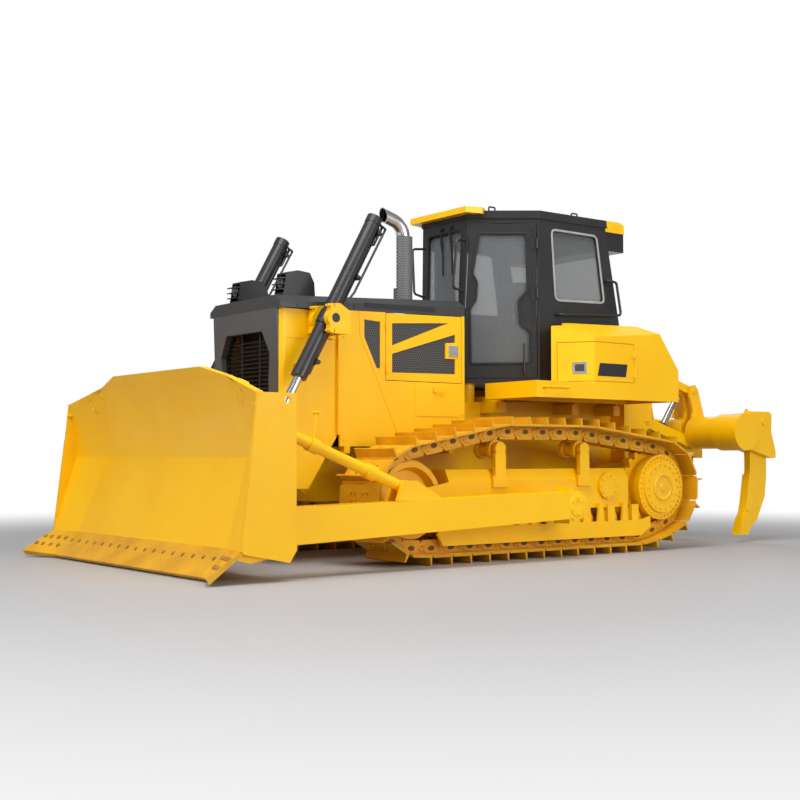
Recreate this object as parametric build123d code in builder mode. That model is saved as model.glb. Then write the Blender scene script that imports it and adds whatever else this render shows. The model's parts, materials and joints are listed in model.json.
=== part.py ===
"""Track-type tractor with a semi-U blade, a cab and a three-shank parallelogram ripper.

Millimetres.  The tractor faces -Y, its left side is +X and +Z is up.  The origin lies on the
ground, at the middle of the overall length and width.
"""
import os
from math import atan2, asin, cos, degrees, hypot, pi, radians, sin, sqrt, tan

from build123d import *

os.makedirs("parts", exist_ok=True)

# ---------------------------------------------------------------- driving dimensions
# Track chain: single-grouser shoes bolted to two strands of links
track_gauge = 2045        # between the middles of the two tracks
link_pitch = 216          # pin to pin
shoe_width = 560
shoe_plate = 20
grouser_height = 65
grouser_root = 24
grouser_tip = 12
shoe_gap = 8              # open joint between two shoes
pin_to_shoe = 58          # pin axis to the inner face of the shoe
pin_to_rail = 59          # pin axis to the rolling face of the link
strand_offset = 85        # middle of the track to the middle of a strand
strand_width = 40

# Wheels inside the track
idler_y = -1395
idler_tread = 327
idler_flange = 345
sprocket_y = 1665
sprocket_z = 612
sprocket_links = 11       # link pitches in one turn
carrier_stations = (-435, 620)
carrier_radius = 84
carrier_rail_z = 1066     # rolling face of the upper run over the carriers
roller_first_y = -1000
roller_step = 331
roller_count = 8
roller_radius = 104.7
roller_waist = 54
rail_play = 0.3           # wheel to rail

# Final drive
drive_case_radius = 296
drive_ring_radius = 318
drive_disc_radius = 250
drive_ring_x = (1140, 1212)
drive_disc_x = 1236

# Roller frame
frame_x = (880, 1165)
frame_z = (430, 800)
frame_y = (-1010, 1320)
guard_low_z = 150
guard_thick = 25
arm_trunnion_y = 105
arm_trunnion_z = 480
arm_trunnion_radius = 75

# Push arms
arm_gap = 97.5             # shoes to the arm
arm_width = 200
arm_inset = 116            # arm to the end of the blade
arm_x = (track_gauge / 2 + shoe_width / 2 + arm_gap, track_gauge / 2 + shoe_width / 2 + arm_gap + arm_width)
arm_front_y = -2880
arm_front_z = (252, 532)
arm_rear_y = 20
arm_rear_z = (362, 602)
arm_cap_radius = 130

# Blade, seen from the side
blade_half = arm_x[1] + arm_inset
blade_flat_half = 1150     # half width of the straight middle part at the top
blade_flat_low = 1400      # half width of the straight middle part at the cutting edge
blade_top_half = 785       # half width of the flat top edge
blade_top = (-3225, 1616)
blade_crease = (-3046, 909)
blade_deep = (-3084, 1276)
blade_foot = (-3291, 234)
blade_tip = (-3498, 34)
blade_back_y = -2920
wing_top_z = 1381
end_plate_thick = 30
end_plate_step = 8         # the doubler stands this far outside the upper plate
edge_thick = 30
bit_tip_y = -3665
lifting_hole = (-2990, 1330)
lifting_hole_radius = 25

# Lift cylinders
lift_x = 750
yoke_y = -2005
yoke_z = 2070
lift_angle = 61.0          # axis above the horizontal
lift_above = 1050          # yoke to the barrel's upper end
lift_below = 570           # yoke to the barrel's lower end
lift_barrel_radius = 70
lift_rod_radius = 37.5
lift_eye_length = 1512     # yoke to the rod's eye
lift_eye_radius = 75
lift_eye_width = 90
lift_pin_radius = 35

# Radiator guard and hood
guard_front_y = -2365
guard_rear_y = -1755
guard_half = 563
guard_top_z = 2165
guard_foot_z = 640
hood_half = 600
hood_rear_y = -350
hood_edge_z = (2165, 2215)     # lower edge of the dark top, front and rear
hood_top_z = (2275, 2370)
hood_top_half = 500
panel_thick = 25
panel_low_z = 1000
cowl_half = guard_half - 26  # dark front plate between the guard's sides
cowl_depth = 60
cowl_low_z = 1010
corner_radius = 60         # front corners of the guard
louvre_pitch = 37
lamp_x = 383
lamp_width = 150
door_y = (-1262, -391)
door_z = (1592, 2180)
door_gap = 6
hatch_y = (-935, -417)
hatch_z = (1278, 1548)

# Cab: six walls, the front one leaning back and the rear one leaning forward above its knee
cab_floor_z = 1620
cab_roof_z = 3205
cab_roof_top_z = 3280
cab_front_y = -148
cab_front_half = 300
cab_front_lean = 60        # the windshield's top is this far behind its foot
cab_wide_y = 452
cab_half = 770
cab_rear_y = 1540
cab_rear_half = 790
cab_rear_knee_z = 2243
cab_rear_lean = 190
cab_wall = 50
roof_overhang = 15
rail_x = 850               # handrails along the cab's sides
ac_y = 1710                # rear face of the air conditioner
ac_z = (3000, 3190)

# Platform and side boxes
deck_x = 1300
deck_z = (1450, 1600)
deck_front_y = -95
deck_rear_y = 1838
box_front_y = 655
box_inner_front_y = 440
box_top_z = (2030, 2110)
box_inner_x = 940
box_inner_top_z = 2170

# Ripper: a parallelogram whose pins are given as (y, z)
ripper_x = 430
link_front_low = (2280, 1290)
link_rise = 570                # lower pins to upper pins
link_reach = (770, -230)       # front pins to rear pins
link_width = 60
link_eye_radius = 62
link_pin_radius = 30
ear_thick = 30
ear_gap = 5
beam_axis = (3100, 1170)
beam_radius = 175
beam_half = 1150
collar_radius = 195
collar_width = 315
pocket_x = 1000
pocket_width = 200
pocket_rear_y = 3665
pocket_low_z = 895
pocket_top_z = 1397
shank_thick = 75
shank_tip_z = 80
ripper_cyl_x = 285
ripper_cyl_foot = (2300, 620)
ripper_cyl_head = (link_front_low[0] + link_reach[0], link_front_low[1] + link_reach[1] + link_rise)
ripper_barrel_radius = 65
ripper_rod_radius = 35
ripper_barrel_end = 790        # foot pin to the barrel's mouth
ripper_rod_length = 900
ripper_eye_radius = 55
ripper_eye_width = 80
hinge_play = 0.5               # radial clearance of a pin in its bore
seat = 0.3                 # joint between two pieces that rest on each other
hinge_radius = 9           # knuckles of the engine doors and box doors
cab_hinge_radius = 14
deck_inner_x = 600


# ---------------------------------------------------------------- helpers
def span(low, high):
    """Middle and length of a stretch."""
    return (low + high) / 2, high - low


def block(x, y, z, mode=Mode.ADD):
    """A box between (low, high) pairs along x, y and z."""
    (cx, lx), (cy, ly), (cz, lz) = span(*x), span(*y), span(*z)
    with Locations((cx, cy, cz)):
        Box(lx, ly, lz, mode=mode)


def outline(plane, points):
    """A flat face with straight edges through the points, on the plane."""
    with BuildSketch(plane) as shape:
        with BuildLine():
            Polyline(*points, close=True)
        make_face()
    return shape.sketch


def side_plate(points, x_low, x_high, mode=Mode.ADD):
    """A plate with an outline of (y, z) points between two stations along x."""
    extrude(outline(Plane.YZ.offset(x_low), points), amount=x_high - x_low, mode=mode)


def plan_plate(points, z_low, z_high, mode=Mode.ADD):
    """A plate with an outline of (x, y) points between two heights."""
    extrude(outline(Plane.XY.offset(z_low), points), amount=z_high - z_low, mode=mode)


def cross_round(y, z, radius, x_low, x_high, mode=Mode.ADD):
    """A round bar or bore along x."""
    with BuildSketch(Plane.YZ.offset(x_low)) as disc:
        with Locations((y, z)):
            Circle(radius)
    extrude(disc.sketch, amount=x_high - x_low, mode=mode)


def bar_between(start, end, radius, x=0.0, mode=Mode.ADD):
    """A round bar between two (y, z) points in the plane at x."""
    run = Vector(0, end[0] - start[0], end[1] - start[1])
    with BuildSketch(Plane(origin=(x, start[0], start[1]), z_dir=run)) as disc:
        Circle(radius)
    extrude(disc.sketch, amount=run.length, mode=mode)


def along(start, angle, distance):
    """The (y, z) point at a distance from start, at an angle above +y in degrees."""
    return (start[0] + distance * cos(radians(angle)), start[1] + distance * sin(radians(angle)))


def knuckle(x, y, z, radius, height):
    """Upright hinge barrel centred at a point."""
    with Locations((x, y, z)):
        Cylinder(radius, height)


def pipe(points, radius, bend, mode=Mode.ADD):
    """A round tube along straight runs with rounded bends."""
    with BuildLine() as route:
        FilletPolyline(*points, radius=bend)
    start = Vector(*points[0])
    with BuildSketch(Plane(origin=start, z_dir=Vector(*points[1]) - start)) as ring:
        Circle(radius)
    sweep(ring.sketch, path=route.line, mode=mode)


def save(part, label):
    """Label a finished piece and write it."""
    part.part.label = label
    export_step(part.part, f"parts/{label}.step")


# ---------------------------------------------------------------- track chain
track_x = track_gauge / 2
shoe_face = grouser_height + shoe_plate
pin_z = shoe_face + pin_to_shoe
rail_z = pin_z + pin_to_rail
idler_belt = hypot(idler_tread + rail_play + pin_to_rail, link_pitch / 2)
idler_z = pin_z + idler_belt
sprocket_belt = link_pitch / (2 * sin(pi / sprocket_links))
carrier_lift = 12
carrier_z = carrier_rail_z - carrier_radius - rail_play
carrier_belt = carrier_radius + rail_play + pin_to_rail + carrier_lift
roller_z = rail_z + roller_radius + rail_play
roller_stations = [roller_first_y + roller_step * i for i in range(roller_count)]
heel_y = roller_stations[-1] + 60
heel_belt = 184

# Circles that the pins run round: y, z, radius, in the order the chain passes them
belt_circles = [
    (idler_y, idler_z, idler_belt),
    (carrier_stations[0], carrier_z - carrier_lift, carrier_belt),
    (carrier_stations[1], carrier_z - carrier_lift, carrier_belt),
    (sprocket_y, sprocket_z, sprocket_belt),
    (heel_y, pin_z + heel_belt, heel_belt),
]


def belt_points(circles, step_target):
    """Pins at equal steps along the belt stretched round the circles."""
    runs = []
    count = len(circles)
    for i in range(count):
        y0, z0, r0 = circles[i]
        y1, z1, r1 = circles[(i + 1) % count]
        reach = hypot(y1 - y0, z1 - z0)
        heading = atan2(z1 - z0, y1 - y0) + asin((r1 - r0) / reach)
        normal = heading + pi / 2
        start = (y0 + r0 * cos(normal), z0 + r0 * sin(normal))
        end = (y1 + r1 * cos(normal), z1 + r1 * sin(normal))
        runs.append((start, end, normal))
    pieces = []
    for i in range(count):
        start, end, normal = runs[i]
        pieces.append(("line", start, end, hypot(end[0] - start[0], end[1] - start[1])))
        y1, z1, r1 = circles[(i + 1) % count]
        turn = (normal - runs[(i + 1) % count][2]) % (2 * pi)
        pieces.append(("arc", (y1, z1, r1), (normal, turn), r1 * turn))
    total = sum(piece[3] for piece in pieces)
    number = round(total / step_target)
    step = total / number
    points = []
    for k in range(number):
        left = k * step
        for kind, a, b, length in pieces:
            if left <= length:
                break
            left -= length
        if kind == "line":
            share = left / length
            points.append((a[0] + (b[0] - a[0]) * share, a[1] + (b[1] - a[1]) * share))
        else:
            angle = b[0] - left / a[2]
            points.append((a[0] + a[2] * cos(angle), a[1] + a[2] * sin(angle)))
    return points


pins = belt_points(belt_circles, link_pitch)
link_count = len(pins)


def link_frame(i):
    """Pin, unit tangent, outward normal and length of link i."""
    (y0, z0), (y1, z1) = pins[i % link_count], pins[(i + 1) % link_count]
    length = hypot(y1 - y0, z1 - z0)
    ty, tz = (y1 - y0) / length, (z1 - z0) / length
    return (y0, z0), (ty, tz), (-tz, ty), length


def link_point(i, s, n):
    """The point at distance s along link i and n outwards from its pin line."""
    (y, z), (ty, tz), (ny, nz), _ = link_frame(i)
    return (y + ty * s + ny * n, z + tz * s + nz * n)


def mitre(i, n):
    """Corner between link i - 1 and link i, n outwards from the pin line."""
    _, _, (ay, az), _ = link_frame(i - 1)
    (y, z), _, (by, bz), _ = link_frame(i)
    share = n / (1 + ay * by + az * bz)
    return (y + (ay + by) * share, z + (az + bz) * share)


def shoe_outline():
    """Outer outline of all shoes: a grouser at the start of each plate and an open joint at its end."""
    points = []
    plate = pin_to_shoe + shoe_plate
    tip = plate + grouser_height
    joint = pin_to_shoe + shoe_plate / 4
    for i in range(link_count):
        length = link_frame(i)[3]
        points.append(link_point(i, shoe_gap, joint))
        points.append(link_point(i, shoe_gap, tip))
        points.append(link_point(i, shoe_gap + grouser_tip, tip))
        points.append(link_point(i, shoe_gap + grouser_root, plate))
        points.append(link_point(i, length - 2, plate))
        points.append(link_point(i, length - 2, joint))
    return points


def rail_outline():
    """Rolling faces of all links, with a nick at each pin."""
    points = []
    for i in range(link_count):
        length = link_frame(i)[3]
        points.append(mitre(i, -pin_to_rail / 2))
        points.append(link_point(i, 22, -pin_to_rail))
        points.append(link_point(i, length - 22, -pin_to_rail))
    return points


rail_line = rail_outline()


def rail_distance(y, z):
    """Distance from a point inside the chain to the nearest rolling face."""
    nearest = []
    for (ya, za), (yb, zb) in zip(rail_line, rail_line[1:] + rail_line[:1]):
        dy, dz = yb - ya, zb - za
        share = ((y - ya) * dy + (z - za) * dz) / (dy * dy + dz * dz)
        share = min(1, max(0, share))
        nearest.append(hypot(y - ya - share * dy, z - za - share * dz))
    return min(nearest)


def seated_height(y, z, radius, way):
    """Height of a wheel's axis, found from z upwards (way 1) or downwards (-1), that leaves the play."""
    for _ in range(40):
        z += way * (radius + rail_play - rail_distance(y, z))
    return z


shoe_inner = [mitre(i, pin_to_shoe) for i in range(link_count)]
strand_outer = [mitre(i, pin_to_shoe + shoe_plate / 8) for i in range(link_count)]

with BuildPart() as track_left:
    with BuildSketch(Plane.YZ.offset(track_x - shoe_width / 2)):
        add(outline(Plane.XY, shoe_outline()))
        add(outline(Plane.XY, shoe_inner), mode=Mode.SUBTRACT)
    extrude(amount=shoe_width)
    for side in (-1, 1):
        middle = track_x + side * strand_offset
        with BuildSketch(Plane.YZ.offset(middle - strand_width / 2)):
            add(outline(Plane.XY, strand_outer))
            add(outline(Plane.XY, rail_line), mode=Mode.SUBTRACT)
        extrude(amount=strand_width)
save(track_left, "track_left")

with BuildPart() as track_right:
    mirror(track_left.part, about=Plane.YZ)
save(track_right, "track_right")


# ---------------------------------------------------------------- wheels inside the track
idler_arm_thick = 26


def turned(x, y, z, section):
    """A solid turned about the x direction through (x, y, z), from (offset along x, radius) points."""
    with BuildSketch(Plane(origin=(x, y, z), x_dir=(1, 0, 0), z_dir=(0, -1, 0))) as half:
        with BuildLine():
            Polyline(*section, close=True)
        make_face()
    revolve(half.sketch, axis=Axis((x, y, z), (1, 0, 0)))


wheel_inner = strand_offset - strand_width / 2 - 5
wheel_outer = strand_offset + strand_width / 2 - 1
idler_hub = frame_x[1] - track_x - idler_arm_thick

with BuildPart() as idlers:
    half_idler = [
        (0, 0), (idler_hub, 0), (idler_hub, 45), (70, 45), (70, 110), (28, 125), (28, 250),
        (wheel_outer, 280), (wheel_outer, idler_tread), (wheel_inner, idler_tread),
        (wheel_inner, idler_flange), (0, idler_flange),
    ]
    section = half_idler + [(-x, r) for x, r in reversed(half_idler[1:-1])]
    turned(track_x, idler_y, idler_z, section)
    mirror(about=Plane.YZ)
save(idlers, "idlers")

roller_flange = wheel_outer + 4
roller_end = roller_flange + 16
saddle_x = roller_end + 2
with BuildPart() as rollers:
    half_roller = [
        (0, 0), (saddle_x, 0), (saddle_x, 34), (roller_end, 34), (roller_end, roller_radius + 16),
        (roller_flange, roller_radius + 16), (roller_flange, roller_radius),
        (wheel_inner, roller_radius), (wheel_inner, roller_waist), (0, roller_waist),
    ]
    section = half_roller + [(-x, r) for x, r in reversed(half_roller[1:-1])]
    for station in roller_stations:
        turned(track_x, station, seated_height(station, roller_z, roller_radius, 1), section)
    half_carrier = [
        (-wheel_outer, 0), (saddle_x, 0), (saddle_x, 30), (wheel_outer, 30), (wheel_outer, carrier_radius),
        (wheel_inner, carrier_radius), (wheel_inner, 62), (-wheel_inner, 62),
        (-wheel_inner, carrier_radius), (-wheel_outer, carrier_radius),
    ]
    for station in carrier_stations:
        turned(track_x, station, seated_height(station, carrier_z, carrier_radius, -1), half_carrier)
    mirror(about=Plane.YZ)
save(rollers, "rollers")


# ---------------------------------------------------------------- final drives
tooth_count = 2 * sprocket_links
bushing_radius = 33
tooth_tip_radius = 398
sprocket_half = 42
case_inner_x = 460


def sprocket_outline():
    """Toothed rim: a seat for a bushing at every half link pitch round the pin circle."""
    rear_pin = max(pins)
    phase = atan2(rear_pin[1] - sprocket_z, rear_pin[0] - sprocket_y)
    points = []
    for k in range(tooth_count):
        seat = phase + 2 * pi * k / tooth_count
        # angle from the seat's middle in tooth pitches, radius
        for share, radius in ((-0.36, tooth_tip_radius), (-0.27, sprocket_belt - 8),
                              (-0.13, sprocket_belt - bushing_radius), (0.13, sprocket_belt - bushing_radius),
                              (0.27, sprocket_belt - 8), (0.36, tooth_tip_radius)):
            angle = seat + share * 2 * pi / tooth_count
            points.append((sprocket_y + radius * cos(angle), sprocket_z + radius * sin(angle)))
    return points


with BuildPart() as final_drives:
    turned(0, sprocket_y, sprocket_z, [
        (case_inner_x, 0), (drive_disc_x, 0), (drive_disc_x, drive_disc_radius),
        (drive_ring_x[1], drive_disc_radius + 6), (drive_ring_x[1], drive_ring_radius),
        (drive_ring_x[0], drive_ring_radius), (drive_ring_x[0], drive_case_radius),
        (track_x - 150, drive_case_radius), (track_x - 170, 245), (case_inner_x, 225),
    ])
    side_plate(sprocket_outline(), track_x - sprocket_half, track_x + sprocket_half)
    mirror(about=Plane.YZ)
save(final_drives, "final_drives")

# ---------------------------------------------------------------- roller frames
guard_inner = saddle_x + 38
pivot_y = 942
pivot_z = 634
pivot_radius = 80
pivot_cap_radius = 122
carrier_post_x = (track_x + saddle_x, track_x + saddle_x + 45)


def long_bar(points, y_low, y_high, mode=Mode.ADD):
    """A bar with a section of (x, z) points between two stations along y."""
    extrude(outline(Plane.XZ.offset(-y_high), points), amount=y_high - y_low, mode=mode)


with BuildPart() as track_frames:
    (x0, x1), (z0, z1) = frame_x, frame_z
    long_bar([(x0, z0), (x1, z0), (x1, z1 - 100), (x1 - 55, z1), (x0 + 55, z1), (x0, z1 - 100)],
             frame_y[0], frame_y[1] - 80)
    for side in (-1, 1):
        wall = track_x + side * (frame_x[1] - track_x)
        inner, outer = sorted((wall, wall - side * idler_arm_thick))
        # yoke arm that holds the idler's axle, and the rear horn beside the sprocket
        side_plate([(frame_y[0], 470), (idler_y - 60, 490), (idler_y - 75, idler_z), (idler_y - 60, 610),
                    (frame_y[0], 690)], inner, outer)
        # saddles for the track rollers
        near, far = sorted((track_x + side * saddle_x, track_x + side * guard_inner))
        for station in roller_stations:
            block((near, far), (station - 48, station + 48), (roller_z - 45, z0 + 20))
        # rock guard along the rollers
        low, high = sorted((track_x + side * guard_inner, track_x + side * (guard_inner + guard_thick)))
        side_plate([(roller_stations[0] - 170, 250), (roller_stations[0] - 110, guard_low_z),
                    (roller_stations[-1] + 60, guard_low_z), (roller_stations[-1] + 190, 230),
                    (roller_stations[-1] + 190, 330), (roller_stations[-1] + 60, 300),
                    (roller_stations[0] - 110, 300)], low, high)
        for station in [roller_stations[0] - 150] + [s + roller_step / 2 for s in roller_stations[:-1]]:
            side_plate([(station - 45, 290), (station + 45, 290), (station + 22, z0 + 40),
                        (station - 22, z0 + 40)], low, high)
            near, far = sorted((track_x + side * (frame_x[1] - track_x), track_x + side * guard_inner))
            block((near, far), (station - 22, station + 22), (z0, z0 + 40))
    for station in carrier_stations:
        block(carrier_post_x, (station - 62, station + 62), (640, carrier_z - 40))
        block((frame_x[1] - 20, carrier_post_x[1]), (station - 85, station + 85), (640, z1 - 60))
        cross_round(station, carrier_z, 62, *carrier_post_x)
    # arm trunnion with its root flange, and the cap over the pivot shaft
    cross_round(arm_trunnion_y, arm_trunnion_z, arm_trunnion_radius, frame_x[1] - 20, arm_x[1] - 45)
    cross_round(arm_trunnion_y, arm_trunnion_z, 120, frame_x[1] - 10, 1290)
    cross_round(pivot_y, pivot_z, pivot_cap_radius, frame_x[1] - 20, frame_x[1] + 32)
    mirror(about=Plane.YZ)
save(track_frames, "track_frames")

# ---------------------------------------------------------------- hull
hull_half = 330
hull_low_z = 520
hull_front_y = -2130
hull_rear_y = 1900
axle_half = case_inner_x
equalizer_y = -640
equalizer_z = (525, 640)

with BuildPart() as main_frame:
    side_plate([(hull_front_y, 760), (hull_front_y + 260, hull_low_z), (hull_rear_y - 350, hull_low_z),
                (hull_rear_y, 640), (hull_rear_y, 1500), (hull_front_y + 1700, 1420), (hull_front_y + 1700, 1000),
                (hull_front_y, 1000)], -hull_half, hull_half)
    cross_round(sprocket_y, sprocket_z, 228, -axle_half, axle_half)
    block((-450, 450), (equalizer_y - 110, equalizer_y + 110), (hull_low_z, equalizer_z[1] + 60))
    for station in (-1680, -500):
        block((-hood_half, hood_half), (station - 30, station + 30), (panel_low_z - 60, panel_low_z))
    # brackets of the platforms and mounts of the cab
    for station in (120, 1100, 1700):
        block((seat - deck_inner_x, deck_inner_x - seat), (station - 45, station + 45), (1330, 1430))
        block((seat - deck_inner_x, deck_inner_x - seat), (station - 10, station + 10), (1430, deck_z[0] + 40))
    for station in (cab_front_y + 130, cab_rear_y - 200):
        for x in (-250, 250):
            with Locations((x, station, 1380)):
                Cylinder(70, cab_floor_z - seat - 1380, align=(Align.CENTER, Align.CENTER, Align.MIN))
save(main_frame, "main_frame")

with BuildPart() as cross_members:
    (z0, z1) = equalizer_z
    long_bar([(450, z0 + 10), (frame_x[0], z0 + 30), (frame_x[0], z1 + 40), (450, z1 + 30)],
             equalizer_y - 90, equalizer_y + 90)
    cross_round(pivot_y, pivot_z, pivot_radius, hull_half, frame_x[0])
    mirror(about=Plane.YZ)
save(cross_members, "cross_members")

with BuildPart() as engine_block:
    block((-300, 300), (-1560, -560), (1000.3, 1850))
    block((-470, 470), (-2110, -1990), (1000.3, 2080))
save(engine_block, "engine_block")

# ---------------------------------------------------------------- radiator guard with the cylinder yokes
ear_in = lift_barrel_radius + 18
ear_out = ear_in + 60
trunnion_radius = 40
bearing_radius = 82
guard_face_y = guard_front_y + 12

with BuildPart() as radiator_guard:
    side_plate([(guard_face_y, guard_foot_z), (guard_rear_y - 300, guard_foot_z), (guard_rear_y, 1100),
                (guard_rear_y, guard_top_z), (guard_face_y, guard_top_z)], -guard_half, guard_half)
    front_corners = radiator_guard.edges().filter_by(Axis.Z).group_by(Axis.Y)[0]
    fillet(front_corners, corner_radius)
    inner = guard_half - panel_thick
    side_plate([(guard_face_y + panel_thick, guard_foot_z - 1), (guard_rear_y + 1, guard_foot_z - 1),
                (guard_rear_y + 1, guard_top_z - 8), (guard_face_y + panel_thick, guard_top_z - 8)],
               -inner, inner, mode=Mode.SUBTRACT)
    # front opening between the columns, and the seam round them
    block((-inner, inner), (guard_face_y - 1, guard_front_y + cowl_depth + seat),
          (cowl_low_z, guard_top_z + 1), mode=Mode.SUBTRACT)
    for side in (-1, 1):
        low, high = sorted((side * (guard_half - 4), side * (guard_half + 1)))
        block((low, high), (guard_face_y + corner_radius, yoke_y - 90), (1910, 1916), mode=Mode.SUBTRACT)
        # bearing that stands on the guard's flank, and the outer one on a bracket behind the cylinder
        for x_near, x_far in ((-ear_out, -ear_in), (ear_in, ear_out)):
            low, high = sorted((side * (lift_x + x_near), side * (lift_x + x_far)))
            cross_round(yoke_y, yoke_z, bearing_radius, low, high)
            side_plate([(yoke_y - 62, yoke_z - 118), (yoke_y - 20, yoke_z - 130), (yoke_y + 130, yoke_z - 130),
                        (yoke_y + 150, yoke_z - 60), (yoke_y + 150, yoke_z + 60), (yoke_y + 40, yoke_z + 125),
                        (yoke_y - 50, yoke_z + 118)], low, high)
            # split line of the cap
            block((low - 1, high + 1), (yoke_y - 20, yoke_y - 12), (yoke_z + 90, yoke_z + 140), mode=Mode.SUBTRACT)
            block((low - 1, high + 1), (yoke_y - 20, yoke_y - 12), (yoke_z - 140, yoke_z - 92), mode=Mode.SUBTRACT)
            for rise in (-104, 104):
                nut_seat = Plane(origin=((low + high) / 2, yoke_y - 45, yoke_z + rise), x_dir=(1, 0, 0),
                                 z_dir=(0, -1, 0))
                with BuildSketch(nut_seat) as nuts:
                    with GridLocations(30, 1, 2, 1):
                        RegularPolygon(12, 6)
                extrude(nuts.sketch, amount=30)
        low, high = sorted((side * guard_half, side * (lift_x + ear_out)))
        block((low, high), (yoke_y + 105, yoke_y + 150), (yoke_z - 128, yoke_z - 60))
        low, high = sorted((side * (guard_half - 5), side * (lift_x - ear_out + 5)))
        side_plate([(yoke_y - 60, yoke_z - 110), (yoke_y + 190, yoke_z - 150), (yoke_y + 190, yoke_z + 70),
                    (yoke_y - 60, yoke_z + 85)], low, high)
        low, high = sorted((side * (lift_x - ear_out - 1), side * (lift_x + ear_out + 1)))
        cross_round(yoke_y, yoke_z, trunnion_radius + hinge_play, low, high, mode=Mode.SUBTRACT)
save(radiator_guard, "radiator_guard")

# dark front plate: flat above, bent back beside the grille
grille_outline = [(-385, cowl_low_z + 60), (-385, 1560), (-413, 1790), (-300, 1982), (300, 1982), (413, 1790),
                  (385, 1560), (385, cowl_low_z + 60)]
with BuildPart() as cowl:
    block((-cowl_half, cowl_half), (guard_front_y, guard_front_y + cowl_depth), (cowl_low_z + seat, guard_top_z))
    extrude(outline(Plane.XZ.offset(-guard_front_y - cowl_depth - 1), grille_outline), amount=cowl_depth + 2,
            mode=Mode.SUBTRACT)
    for side in (-1, 1):
        top = Vector(side * cowl_half, guard_front_y, guard_top_z - 30)
        bend = Vector(side * 300, guard_front_y, 1982)
        back = Vector(side * cowl_half, guard_front_y + 22, 1560)
        normal = (bend - top).cross(back - top).normalized() * side
        cut = Plane(origin=top, x_dir=(bend - top), z_dir=normal)
        split(bisect_by=cut if normal.Y < 0 else -cut, keep=Keep.BOTTOM)
        with Locations((side * 478, guard_front_y + 34, 1925)):
            Cylinder(14, 40, rotation=(90, 0, 0))
save(cowl, "cowl")

with BuildPart() as grille:
    louvre_y = guard_front_y + cowl_depth + seat
    extrude(outline(Plane.XZ.offset(-louvre_y - 45), [(x * 1.05, z) for x, z in grille_outline]), amount=45)
    extrude(outline(Plane.XZ.offset(-louvre_y - 46), [(x * 0.98, z) for x, z in grille_outline]), amount=47,
            mode=Mode.SUBTRACT)
    louvre_count = int((1975 - cowl_low_z - 80) / louvre_pitch)
    for i in range(louvre_count):
        z = cowl_low_z + 88 + i * louvre_pitch
        half = 300 + 113 * min(1, (1982 - z) / 192) if z > 1790 else 385
        side_plate([(louvre_y + 6, z - 9), (louvre_y + 9, z - 13), (louvre_y + 39, z + 9), (louvre_y + 36, z + 13)],
                   -half, half)
    for x in (-150, 150):
        block((x - 8, x + 8), (louvre_y + 14, louvre_y + 30), (cowl_low_z + 70, 1975))
save(grille, "grille")

# ---------------------------------------------------------------- hood and side panels
with BuildPart() as hood:
    shells = []
    for inset in (0, panel_thick):
        faces = []
        for k, y in ((0, guard_front_y + (0 if inset == 0 else inset)), (1, hood_rear_y)):
            low, top = hood_edge_z[k] - (0 if inset == 0 else 1), hood_top_z[k] - inset
            faces.append(outline(Plane.XZ.offset(-y), [
                (-hood_half + inset, low), (hood_half - inset, low), (hood_half - inset, top - 60),
                (hood_top_half, top), (-hood_top_half, top), (-hood_half + inset, top - 60)]))
        loft(faces, ruled=True, mode=Mode.ADD if inset == 0 else Mode.SUBTRACT)
    block((-cab_front_half, cab_front_half), (hood_rear_y - 10, cab_front_y - 8), (2100, hood_top_z[1] - 10))
    for side in (-1, 1):
        low, high = sorted((side * (hood_half - 6), side * (hood_half + 1)))
        block((low, high), (guard_front_y + 150, guard_front_y + 270), (2215, 2250), mode=Mode.SUBTRACT)
        block((low, high), (-1613, -1607), (2100, 2400), mode=Mode.SUBTRACT)
save(hood, "hood")


def hood_edge(y):
    """Height of the hood's lower edge at a station."""
    share = (y - guard_front_y) / (hood_rear_y - guard_front_y)
    return hood_edge_z[0] + share * (hood_edge_z[1] - hood_edge_z[0])


with BuildPart() as side_panels:
    x_in, x_out = hood_half - panel_thick, hood_half
    side_plate([(guard_rear_y, panel_low_z), (hood_rear_y, panel_low_z), (hood_rear_y, hood_edge(hood_rear_y)),
                (guard_rear_y, hood_edge(guard_rear_y))], x_in, x_out)
    block((x_in - 1, x_out + 1), (door_y[0] - door_gap, door_y[1] + door_gap),
          (door_z[0] - door_gap, hood_edge(door_y[1]) + 50), mode=Mode.SUBTRACT)
    block((guard_half, x_out), (guard_rear_y - 20, guard_rear_y + 60), (1100, guard_top_z))
    # mesh recess ahead of the door, the slanting seam, and the hatch under the door
    side_plate([(-1500, 2115), (-1327, 2105), (-1327, 1690), (-1365, 1690), (-1500, 1960)], x_out - 12, x_out + 1,
               mode=Mode.SUBTRACT)
    for (y0, z0), (y1, z1) in (((-1561, 2200), (-1551, 1978)), ((-1551, 1978), (-1158, 1161)),
                               ((-1158, 1161), (-1080, 999))):
        side_plate([(y0 - 2, z0), (y0 + 2, z0), (y1 + 2, z1), (y1 - 2, z1)], x_out - 4, x_out + 1,
                   mode=Mode.SUBTRACT)
    block((x_out - 1, x_out + 5), hatch_y, hatch_z)
    block((x_out, x_out + 28), (hatch_y[0] + 205, hatch_y[0] + 225), (hatch_z[1] - 42, hatch_z[1] - 8))
    block((x_out + 18, x_out + 28), (hatch_y[0] + 205, hatch_y[0] + 330), (hatch_z[1] - 52, hatch_z[1] - 38))
    mirror(about=Plane.YZ)
save(side_panels, "side_panels")

def hood_top(y):
    """Height of the hood's flat top at a station."""
    share = (y - guard_front_y) / (hood_rear_y - guard_front_y)
    return hood_top_z[0] + share * (hood_top_z[1] - hood_top_z[0])


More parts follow.
